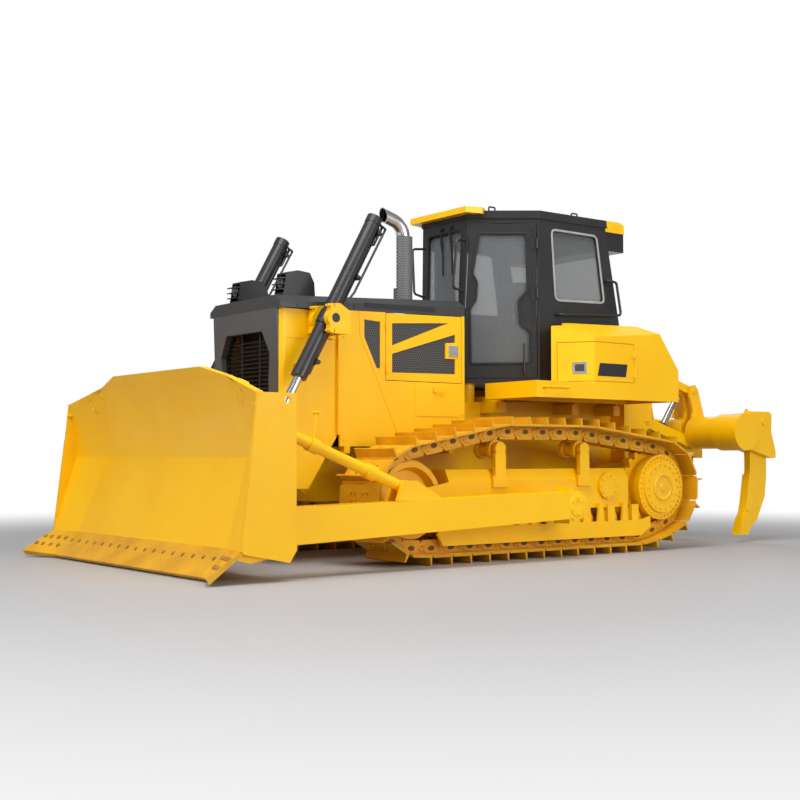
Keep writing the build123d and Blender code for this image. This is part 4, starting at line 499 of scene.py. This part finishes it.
seam_top, seam_low = np.array((1.362, -3.291, 0.234)), np.array((1.392, -3.498, 0.034))
end_top, end_low = np.array((1.716, -3.387, 0.234)), np.array((1.716, -3.665, 0.061))
bit_share = np.array([(u, v) for v in (0.3, 0.62) for u in (0.16, 0.42, 0.68, 0.9)])
top_line = seam_top + (end_top - seam_top) * bit_share[:, :1]
low_line = seam_low + (end_low - seam_low) * bit_share[:, :1]
bit_seats = top_line + (low_line - top_line) * bit_share[:, 1:]
bit_facing = unit(np.cross(end_top - seam_top, low_line - top_line))
bit_facing = bit_facing * np.sign(-bit_facing[:, 1:2])
turned_pieces("end_bit_bolts", both_sides(bit_seats), np.concatenate([bit_facing, bit_facing * (-1, 1, 1)]),
              round_head(0.023, 0.008), 12, dark_bolt, "work_frame")

turned_pieces("drive_ring_bolts", both_sides(circle_of_seats(drive_centre, 0.288, 36)),
              both_facing((1, 0, 0), 36), hex_head(0.011, 0.012), 6, casting_yellow, "tractor")
turned_pieces("drive_disc_bolts", both_sides(circle_of_seats((1.236, 1.665, 0.612), 0.215, 18)),
              both_facing((1, 0, 0), 18), hex_head(0.012, 0.012), 6, casting_yellow, "tractor")
turned_pieces("drive_hub_caps", both_sides((1.236, 1.665, 0.612)), both_facing((1, 0, 0), 1),
              [(0, -0.01), (0.135, -0.01), (0.135, 0.008), (0.120, 0.014), (0.112, 0.014), (0.105, 0.004),
               (0.045, 0.004), (0.040, 0.014), (0, 0.016)], 48, casting_yellow, "tractor")
turned_pieces("pivot_cover_bolts", both_sides(circle_of_seats((1.197, 0.942, 0.634), 0.100, 10)),
              both_facing((1, 0, 0), 10), hex_head(0.010, 0.011), 6, casting_yellow, "tractor")
turned_pieces("trunnion_covers", both_sides((1.600, 0.105, 0.480)), both_facing((1, 0, 0), 1),
              [(0, -0.01), (0.096, -0.01), (0.096, 0.006), (0.090, 0.010), (0.040, 0.010), (0.036, 0.004),
               (0, 0.004)], 40, yellow, "work_frame")
turned_pieces("trunnion_bolts", both_sides(circle_of_seats((1.610, 0.105, 0.480), 0.070, 6, 0.5)),
              both_facing((1, 0, 0), 6), hex_head(0.011, 0.010), 6, yellow, "work_frame")
# screws along the panels and the guard's columns
panel_rows = [(hood_side_x, y, z) for y, z in (
    (-1.72, 1.06), (-1.72, 1.50), (-1.72, 1.95), (-1.30, 1.06), (-0.90, 1.06), (-0.45, 1.06), (-0.38, 1.30),
    (-0.38, 1.62), (-0.38, 1.95))]
turned_pieces("panel_bolts", both_sides(panel_rows), both_facing((1, 0, 0), len(panel_rows)),
              hex_head(0.009, 0.008), 6, yellow, "tractor")
guard_rows = [(0.563, -2.20, z) for z in (0.80, 1.10, 1.40, 1.70)]
turned_pieces("guard_bolts", both_sides(guard_rows), both_facing((1, 0, 0), len(guard_rows)),
              hex_head(0.012, 0.010), 6, yellow, "tractor")
hood_rows = [(hood_side_x, y, z) for y, z in ((-2.20, 2.190), (-1.80, 2.200), (-1.40, 2.208),
                                              (-0.90, 2.216), (-0.45, 2.226))]
turned_pieces("hood_bolts", both_sides(hood_rows), both_facing((1, 0, 0), len(hood_rows)),
              hex_head(0.008, 0.007), 6, hood_grey, "tractor")

# pins of the ripper: keeper plates with a bolt on the ends of the link pins and the cylinder pins
ripper_pins = {
    "tractor": [(0.495, 2.280, 1.290), (0.495, 2.280, 1.860)],
    "ripper_beam": [(0.495, 3.050, 1.060), (0.495, 3.050, 1.630)],
}
keeper = [(0, -0.004), (0.040, -0.004), (0.040, 0.006), (0.034, 0.009), (0.016, 0.009), (0.016, 0.016),
          (0.011, 0.019), (0, 0.019)]
for body, places in ripper_pins.items():
    turned_pieces(f"pin_keepers_{body}", both_sides(places), both_facing((1, 0, 0), len(places)), keeper,
                  24, casting_yellow, body)

# ---------------------------------------------------------------- chain links and shoe bolts
chain_pins = np.array([(-1.4672, 0.9387), (-1.2552, 0.9775), (-1.0432, 1.0163), (-0.8312, 1.0551),
                       (-0.6192, 1.0939), (-0.4065, 1.1250), (-0.1910, 1.1250), (0.0246, 1.1250),
                       (0.2401, 1.1250), (0.4556, 1.1250), (0.6708, 1.1199), (0.8847, 1.0937),
                       (1.0987, 1.0676), (1.3126, 1.0414), (1.5265, 1.0152), (1.7402, 0.9879),
                       (1.9290, 0.8899), (2.0365, 0.7064), (2.0297, 0.4938), (1.9106, 0.3176),
                       (1.7166, 0.2288), (1.5086, 0.1721), (1.2967, 0.1430), (1.0812, 0.1430),
                       (0.8657, 0.1430), (0.6502, 0.1430), (0.4347, 0.1430), (0.2192, 0.1430),
                       (0.0036, 0.1430), (-0.2119, 0.1430), (-0.4274, 0.1430), (-0.6429, 0.1430),
                       (-0.8584, 0.1430), (-1.0739, 0.1430), (-1.2894, 0.1430), (-1.5036, 0.1580),
                       (-1.6859, 0.2680), (-1.7863, 0.4558), (-1.7764, 0.6685), (-1.6590, 0.8461)])
link_run = unit(np.roll(chain_pins, -1, 0) - chain_pins)
link_out = np.stack([-link_run[:, 1], link_run[:, 0]], axis=-1)
track_middle = 1.0225
strand_face = 0.105


def on_links(shape, x):
    """Points on every link at a station x: pin + along * run + outward * normal, for each pair."""
    shape = np.asarray(shape, float)
    flat = (chain_pins[:, None] + link_run[:, None] * shape[None, :, :1]
            + link_out[:, None] * shape[None, :, 1:])
    return np.concatenate([np.full((*flat.shape[:2], 1), x), flat], axis=-1)


# forged link: a waisted plate between two round bosses, drawn on the strand's outer and inner faces, with a
# thin dark sheet of painted shade in each pocket
turn = np.linspace(0, 2 * np.pi, 28, endpoint=False)
half_link = 0.108
waist = np.stack([half_link + 0.090 * signed_power(np.cos(turn), 0.6),
                  0.004 + (0.046 - 0.016 * np.cos(turn) ** 4) * signed_power(np.sin(turn), 0.7)], axis=-1)
pocket = np.stack([half_link + 0.036 * np.cos(turn), 0.010 + 0.022 * np.sin(turn)], axis=-1)
for side in (LEFT, RIGHT):
    name = side_name[side]
    for label, way in (("outer", 1), ("inner", -1)):
        face_x = track_middle + way * strand_face
        slabs(f"link_plates_{label}_{name}", on_links(waist, face_x) * flip[side], (side * way, 0, 0),
              0.009, track_yellow, "tractor", bevel=0.003)
        bosses = on_links([(0.0, 0.0)], face_x).reshape(-1, 3)
        turned_pieces(f"pin_bosses_{label}_{name}", bosses * flip[side], (side * way, 0, 0),
                      [(0, -0.004), (0.031, -0.004), (0.031, 0.012), (0.027, 0.015), (0.017, 0.015),
                       (0.015, 0.009), (0, 0.009)], 16, track_yellow, "tractor")
        # painted shade in each link's pocket: a thin dark sheet on the plate's face instead of a real
        # recess
        slabs(f"link_pockets_{label}_{name}", on_links(pocket, face_x + way * 0.0085) * flip[side],
              (side * way, 0, 0), 0.0012, painted_pocket_shade, "tractor", bevel=0.0004)
    shoe_bolts = [(along, 0.078) for along in (0.085, 0.155)]
    seats = np.concatenate([on_links(shoe_bolts, track_middle + x).reshape(-1, 3)
                            for x in (-0.115, -0.055, 0.055, 0.115)])
    facing = np.tile(np.repeat(np.concatenate([np.zeros((len(chain_pins), 1)), link_out], axis=-1), 2,
                               axis=0), (4, 1))
    turned_pieces(f"shoe_bolts_{name}", seats * flip[side], facing, hex_head(0.015, 0.014), 6, track_yellow,
                  "tractor")

# ---------------------------------------------------------------- punched sheets behind the side openings
recess = [(-1.500, 2.115), (-1.327, 2.105), (-1.327, 1.690), (-1.365, 1.690), (-1.500, 1.960)]
door_upper = [(-1.195, 2.100), (-0.543, 2.142), (-1.195, 1.900)]
door_lower = [(-1.195, 1.827), (-0.461, 2.042), (-0.461, 1.965), (-0.579, 1.952), (-0.579, 1.812),
              (-0.461, 1.812), (-0.461, 1.671), (-1.195, 1.659)]
sheet_depth = 0.0115
for side in (LEFT, RIGHT):
    for label, outline, body in (("panel", recess, "tractor"),
                                 ("door_upper", door_upper, f"engine_door_{side_name[side]}"),
                                 ("door_lower", door_lower, f"engine_door_{side_name[side]}")):
        corners = np.array([(hood_side_x - sheet_depth, y, z) for y, z in outline])
        middle = corners.mean(axis=0)
        drawn = middle + (corners - middle) * 0.985
        slab(f"{label}_mesh_{side_name[side]}", drawn * flip[side], (side, 0, 0), 0.0025, punched, body,
             bevel=0.0006)

# ---------------------------------------------------------------- latches, plates and handles
for side in (LEFT, RIGHT):
    name = side_name[side]
    paddle = [(0.6142, y, z) for y, z in ((-0.503, 1.862), (-0.467, 1.862), (-0.467, 1.904),
                                          (-0.503, 1.904))]
    slab(f"door_latch_{name}", rounded_loop(np.array(paddle) * flip[side], 0.008), (side, 0, 0), 0.004,
         zinc, f"engine_door_{name}")
    plate = [(1.3002, y, z) for y, z in ((0.690, 1.668), (1.075, 1.668), (1.100, 1.790), (0.722, 1.790))]
    slab(f"side_plate_{name}", rounded_loop(np.array(plate) * flip[side], 0.004), (side, 0, 0), 0.002,
         dark_blank, f"box_door_{name}", bevel=0.0008)
    # flush latch on the slanting front of the side box: a bright frame round a grey paddle
    frame_points, out = wall_points(box_corner_in, box_corner_out,
                                    [(0.205, 1.690), (0.345, 1.690), (0.345, 1.800), (0.205, 1.800)],
                                    0.0006)
    slab(f"box_latch_frame_{name}", rounded_loop(frame_points * flip[side], 0.010), out * flip[side], 0.005,
         zinc, f"box_door_{name}")
    paddle_points, out = wall_points(box_corner_in, box_corner_out,
                                     [(0.230, 1.712), (0.320, 1.712), (0.320, 1.778), (0.230, 1.778)],
                                     0.0052)
    slab(f"box_latch_paddle_{name}", rounded_loop(paddle_points * flip[side], 0.008), out * flip[side],
         0.003, shield_steel, f"box_door_{name}")
    # the engine door's latch shows a bright frame round its paddle
    ring = [(0.6121, y, z) for y, z in ((-0.549, 1.834), (-0.437, 1.834), (-0.437, 1.934), (-0.549, 1.934))]
    slab(f"door_latch_frame_{name}", rounded_loop(np.array(ring) * flip[side], 0.010), (side, 0, 0), 0.002,
         zinc, f"engine_door_{name}", bevel=0.0008)
    band = [(0.6002, y, z) for y, z in ((-1.500, 2.262), (-0.700, 2.276), (-0.700, 2.230), (-1.500, 2.218))]
    slab(f"hood_band_{name}", rounded_loop(np.array(band) * flip[side], 0.006), (side, 0, 0), 0.0015,
         dark_blank, "tractor", bevel=0.0006)

# ---------------------------------------------------------------- glazing seals and the cab's fittings
door_pane = [(0.098, 1.801), (0.672, 1.806), (0.672, 2.119), (0.575, 2.189), (0.561, 2.413), (0.648, 2.507),
             (0.636, 3.060), (0.181, 3.060), (0.120, 2.667), (0.164, 2.589), (0.153, 2.417), (0.092, 2.327)]
side_pane = [(0.213, 2.428), (0.878, 2.447), (0.774, 3.110), (0.162, 3.115)]
seal_section = [(-0.011, -0.004), (0.011, -0.004), (0.011, 0.002), (0.006, 0.006), (-0.006, 0.006),
                (-0.011, 0.002)]
for side in (LEFT, RIGHT):
    name = side_name[side]
    points, normal = wall_points(cab_corner_front, cab_corner_wide, door_pane, 0.0055)
    carried_profile(f"door_seal_{name}", rounded_loop(points * flip[side], 0.026), normal * flip[side],
                    seal_section, rubber, f"cab_door_{name}")
    points, normal = wall_points(cab_corner_wide, cab_corner_rear, side_pane, 0.001)
    carried_profile(f"side_seal_{name}", rounded_loop(points * flip[side], 0.055), normal * flip[side],
                    seal_section, pale_rubber, "tractor")

front_lean = np.arctan2(0.060, 1.585)
front_up = np.array((0.0, np.sin(front_lean), np.cos(front_lean)))
front_out = np.array((0.0, -np.cos(front_lean), np.sin(front_lean)))
wind_pane = np.array([(-0.252, 0.700), (0.252, 0.700), (0.260, 1.490), (-0.260, 1.490)])
wind_foot = np.array((0.0, -0.148, 1.620))
wind_points = (wind_foot + wind_pane[:, :1] * np.array((1.0, 0, 0))
               + wind_pane[:, 1:] * front_up + front_out * 0.001)
carried_profile("windshield_seal", rounded_loop(wind_points, 0.055), front_out, seal_section, rubber,
                "tractor")
rear_lean = np.arctan2(0.190, 0.962)
rear_up = np.array((0.0, -np.sin(rear_lean), np.cos(rear_lean)))
rear_out = np.array((0.0, np.cos(rear_lean), np.sin(rear_lean)))
rear_pane = np.array([(-0.680, 0.170), (0.680, 0.170), (0.680, 0.900), (-0.680, 0.900)])
rear_points = (np.array((0.0, 1.540, 2.243)) + rear_pane[:, :1] * np.array((1.0, 0, 0))
               + rear_pane[:, 1:] * rear_up + rear_out * 0.001)
carried_profile("rear_window_seal", rounded_loop(rear_points, 0.060), rear_out, seal_section, rubber,
                "tractor")


def wiper(name, pivot, tip, blade_low, blade_high, out, body):
    """Wiper: motor cap, a bent arm from pivot to tip and a thin blade across the tip, off the glass."""
    pivot, tip, low, high, out = (np.asarray(v, float) for v in (pivot, tip, blade_low, blade_high,
                                                                 unit(out)))
    turned_pieces(f"{name}_pivot", pivot, out, [(0, -0.002), (0.019, -0.002), (0.019, 0.016),
                                                (0.014, 0.024), (0, 0.026)], 20, rubber, body)
    share = np.linspace(0, 1, 12)[:, None]
    arm = pivot + (tip - pivot) * share + out * (0.020 + 0.012 * np.sin(share * np.pi))
    carried_profile(f"{name}_arm", arm, out, [(-0.006, -0.003), (0.006, -0.003), (0.006, 0.003),
                                              (-0.006, 0.003)], rubber, body, closed=False)
    blade_line = low + (high - low) * np.linspace(0, 1, 8)[:, None] + out * 0.010
    carried_profile(f"{name}_blade", blade_line, out, [(-0.005, -0.006), (0.005, -0.006), (0.004, 0.010),
                                                       (-0.004, 0.010)], rubber, body,
                    closed=False)


for label, aside in (("a", -0.04), ("b", 0.10)):
    pivot, tip, low, high = (
        wind_foot + front_up * height + np.array((aside + shift, 0, 0))
        for height, shift in ((1.530, 0.0), (1.250, 0.05), (1.060, 0.05), (1.450, 0.02)))
    wiper(f"front_wiper_{label}", pivot, tip, low, high, front_out, "tractor")

# hinge strips with their screws on the rear posts of the doors
for side in (LEFT, RIGHT):
    name = side_name[side]
    strip, normal = wall_points(cab_corner_front, cab_corner_wide,
                                [(0.690, 1.700), (0.722, 1.700), (0.722, 3.120), (0.690, 3.120)], 0.0003)
    slab(f"hinge_strip_{name}", strip * flip[side], normal * flip[side], 0.006, charcoal,
         f"cab_door_{name}")
    heights = np.concatenate([middle + np.linspace(-0.09, 0.09, 4) for middle in (1.86, 2.30, 2.66, 3.00)])
    screws, normal = wall_points(cab_corner_front, cab_corner_wide,
                                 np.stack([np.full(16, 0.706), heights], axis=-1), 0.0063)
    turned_pieces(f"hinge_screws_{name}", screws * flip[side], normal * flip[side],
                  round_head(0.010, 0.006), 12, rubber, f"cab_door_{name}")

# ---------------------------------------------------------------- oil tubes on the lift cylinders
lift_lean = np.radians(61.0)
barrel_up = np.array((0.0, np.cos(lift_lean), np.sin(lift_lean)))
barrel_back = np.array((0.0, np.sin(lift_lean), -np.cos(lift_lean)))
for side in (LEFT, RIGHT):
    name = side_name[side]
    yoke = np.array((side * 0.750, -2.005, 2.070))
    aside = np.array((0.052, 0.0, 0.0))
    turns = ((1.000, 0.050), (1.000, 0.115), (0.330, 0.105), (0.250, 0.085), (0.200, 0.085))
    route = [yoke + barrel_up * along + barrel_back * behind + aside for along, behind in turns]
    share = np.linspace(0, 1, 15)[:, None]
    path = np.concatenate([a + (b - a) * share[:-1] for a, b in zip(route, route[1:])] + [route[-1][None]])
    carried_profile(f"oil_tube_{name}", path, (1, 0, 0), round_profile(0.011), charcoal,
                    f"lift_barrel_{name}", closed=False, smooth=True)

# ---------------------------------------------------------------- lamps
lamp_seats = np.array([(0.383, -2.222, 2.405), (-0.383, -2.222, 2.405)])
turned_pieces("lamp_reflectors", lamp_seats, (0, -1, 0), [(0, -0.002), (0.046, -0.002), (0.046, 0.012),
                                                          (0.040, 0.012), (0.030, 0.004), (0, 0.001)], 32,
              zinc, "tractor")
turned_pieces("lamp_lenses", lamp_seats, (0, -1, 0), [(0, 0.008), (0.040, 0.008), (0.040, 0.012),
                                                      (0.024, 0.017), (0, 0.019)], 32, lens, "tractor",
              smooth=True)

# ---------------------------------------------------------------- operator's levers and the seat
seat_middle = 0.620
console_top = 2.180
lever_boot = [(0, -0.005), (0.045, -0.005), (0.045, 0.010), (0.034, 0.018), (0.038, 0.026), (0.027, 0.034),
              (0.030, 0.042), (0.019, 0.050), (0, 0.052)]
lever_grip = [(0, 0.14), (0.014, 0.142), (0.021, 0.165), (0.019, 0.205), (0.024, 0.240), (0.016, 0.262),
              (0, 0.268)]
lever_seats = [(x, seat_middle - 0.130, console_top) for x in (-0.360, 0.360)]
turned_pieces("lever_boots", lever_seats, (0, 0, 1), lever_boot, 24, rubber, "tractor",
              smooth=True)
turned_pieces("lever_grips", lever_seats, (0, 0, 1), lever_grip, 20, trim, "tractor",
              smooth=True)
turned_pieces("lever_stems", lever_seats, (0, 0, 1), [(0, 0.04), (0.008, 0.04), (0.008, 0.15), (0, 0.15)],
              16, zinc, "tractor")


def cushion_blank(middle, size):
    """Blank of a pad: a superellipsoid whose sides are rounded and whose face is crowned.

    Point = middle + half size * signed powers of the sphere's cosines and sines.
    """
    u = np.linspace(-np.pi / 2, np.pi / 2, 24)[:, None]
    v = np.linspace(-np.pi, np.pi, 49)[:-1][None, :]
    half = np.asarray(size, float) / 2
    belt = signed_power(np.cos(u), 0.35)
    shape = np.stack([half[0] * belt * signed_power(np.cos(v), 0.35),
                      half[1] * belt * signed_power(np.sin(v), 0.35),
                      half[2] * signed_power(np.sin(u), 0.55) * np.ones_like(v)], axis=-1)
    return np.asarray(middle) + shape


def padded_cushion(name, blanks, replaced):
    """Cloth-covered pads: blanks are remeshed, blown up a little as cloth, capped and smoothed."""
    points, faces, start = [], [], 0
    for blank in blanks:
        rows, columns = blank.shape[:2]
        points.append(blank.reshape(-1, 3))
        faces.append(grid_faces(rows, columns) + start)
        start += rows * columns
    piece = make_piece(name, np.concatenate(points), np.concatenate(faces), weave, "tractor",
                       True)
    inflate(piece)
    for polygon in piece.data.polygons:
        polygon.use_smooth = True
    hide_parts(*replaced)
    return piece


def inflate(piece, cap=0.010, voxel=0.006, pressure=4.0, last_frame=20):
    """Voxel remesh, then cloth under pressure with no gravity; no point moves past the cap."""
    scene = bpy.context.scene
    remesh = piece.modifiers.new("remesh", "REMESH")
    remesh.mode = "VOXEL"
    remesh.voxel_size = voxel
    bpy.context.view_layer.objects.active = piece
    bpy.ops.object.modifier_apply(modifier=remesh.name)
    count = len(piece.data.vertices)
    before = np.empty(count * 3)
    piece.data.vertices.foreach_get("co", before)
    cloth = piece.modifiers.new("cloth", "CLOTH")
    cloth.settings.use_pressure = True
    cloth.settings.uniform_pressure_force = pressure
    cloth.settings.effector_weights.gravity = 0.0
    scene.frame_start, scene.frame_end = 1, last_frame
    cloth.point_cache.frame_start, cloth.point_cache.frame_end = 1, last_frame
    for frame_number in range(1, last_frame + 1):
        scene.frame_set(frame_number)
    bpy.ops.object.modifier_apply(modifier=cloth.name)
    after = np.empty(count * 3)
    piece.data.vertices.foreach_get("co", after)
    scene.frame_set(1)
    before, after = before.reshape(-1, 3), after.reshape(-1, 3)
    moved = after - before
    length = np.linalg.norm(moved, axis=1, keepdims=True)
    held = before + moved * np.minimum(1.0, cap / np.maximum(length, 1e-9))
    piece.data.vertices.foreach_set("co", held.ravel())
    piece.data.update()


floor_top = 1.660
seat_blank = cushion_blank((0, seat_middle, floor_top + 0.390), (0.450, 0.450, 0.108))
back_blank = cushion_blank((0, seat_middle + 0.205, floor_top + 0.760), (0.430, 0.100, 0.560))
padded_cushion("seat_pads", [seat_blank, back_blank], ["seat_cushions"])

# ---------------------------------------------------------------- floor, light and camera
floor_mesh = bpy.data.meshes.new("floor")
reach = 60
floor_mesh.from_pydata([(-reach, -reach, 0), (reach, -reach, 0), (reach, reach, 0), (-reach, reach, 0)],
                       [], [(0, 1, 2, 3)])
floor = bpy.data.objects.new("floor", floor_mesh)
bpy.context.scene.collection.objects.link(floor)


def pale_floor():
    """Matt white studio floor that fades to plain white with distance from the machine, shadow kept."""
    material, tree, output, place = new_material("studio_floor")
    radius = add_node(tree, "ShaderNodeVectorMath", {"operation": "LENGTH"}, {0: (place, "Object")})
    fade = add_node(tree, "ShaderNodeMapRange", {"From Min": 4.5, "From Max": 11.0,
                                                 "interpolation_type": "SMOOTHSTEP"},
                    {"Value": (radius, "Value")})
    matt = add_node(tree, "ShaderNodeBsdfPrincipled", {"Base Color": linear("#A6A6A8"), "Roughness": 0.6})
    path = add_node(tree, "ShaderNodeLightPath")
    seen = add_node(tree, "ShaderNodeMath", {"operation": "MAXIMUM"},
                    {0: (path, "Is Camera Ray"), 1: (path, "Is Glossy Ray")})
    seen = add_node(tree, "ShaderNodeMath", {"operation": "MAXIMUM"},
                    {0: (seen, 0), 1: (path, "Is Transmission Ray")})
    share = add_node(tree, "ShaderNodeMath", {"operation": "MULTIPLY"}, {0: (fade, "Result"), 1: (seen, 0)})
    glow = add_node(tree, "ShaderNodeEmission", {"Color": (1, 1, 1, 1), "Strength": 1.0})
    mix = add_node(tree, "ShaderNodeMixShader", {}, {0: (share, 0), 1: (matt, "BSDF"),
                                                     2: (glow, "Emission")})
    tree.links.new(mix.outputs[0], output.inputs["Surface"])
    return material


floor_mesh.materials.append(pale_floor())

world = bpy.data.worlds.new("studio")
bpy.context.scene.world = world
world.use_nodes = True
sky = world.node_tree
sky.nodes.clear()
sky_out = add_node(sky, "ShaderNodeOutputWorld")
sky_path = add_node(sky, "ShaderNodeLightPath")
sky_seen = add_node(sky, "ShaderNodeMath", {"operation": "MAXIMUM"},
                    {0: (sky_path, "Is Camera Ray"), 1: (sky_path, "Is Transmission Ray")})
fill = add_node(sky, "ShaderNodeBackground", {"Color": (1, 1, 1, 1), "Strength": 0.36})
plain = add_node(sky, "ShaderNodeBackground", {"Color": (1, 1, 1, 1), "Strength": 1.0})
sky_mix = add_node(sky, "ShaderNodeMixShader", {}, {0: (sky_seen, 0), 1: (fill, 0), 2: (plain, 0)})
sky.links.new(sky_mix.outputs[0], sky_out.inputs["Surface"])


def softbox(name, place, aim, size, power):
    """Rectangular area lamp at a place, turned to face a point."""
    lamp = bpy.data.lights.new(name, "AREA")
    lamp.shape = "RECTANGLE"
    lamp.size, lamp.size_y = size
    lamp.energy = power
    thing = bpy.data.objects.new(name, lamp)
    bpy.context.scene.collection.objects.link(thing)
    thing.location = place
    thing.rotation_euler = (Vector(aim) - Vector(place)).to_track_quat("-Z", "Y").to_euler()
    return thing


softbox("overhead", (3.0, -3.0, 9.0), (0.3, -0.3, 0.8), (6.0, 6.0), 720)
softbox("side", (11.0, 1.0, 4.0), (0, 0.5, 1.2), (6.0, 4.0), 450)
softbox("front", (2.0, -10.5, 7.0), (0, -2.5, 0.8), (5.0, 3.0), 440)
softbox("rear", (-8.0, 8.0, 6.0), (0, 1.5, 1.0), (5.0, 4.0), 300)

camera_data = bpy.data.cameras.new("camera")
camera = bpy.data.objects.new("camera", camera_data)
bpy.context.scene.collection.objects.link(camera)
sensor_width = 36.0
focal_share = 1.582      # focal length over the sensor's width
camera_data.sensor_width = sensor_width
camera_data.lens = sensor_width * focal_share
camera_data.clip_end = 200
yaw, pitch = radians(37.448), radians(2.538)
forward = Vector((-cos(yaw) * cos(pitch), sin(yaw) * cos(pitch), sin(pitch)))
camera.location = (9.570, -7.976, 0.916)
camera.rotation_euler = forward.to_track_quat("-Z", "Y").to_euler()
bpy.context.scene.camera = camera
bpy.context.scene.view_settings.view_transform = "Standard"

bpy.context.view_layer.update()
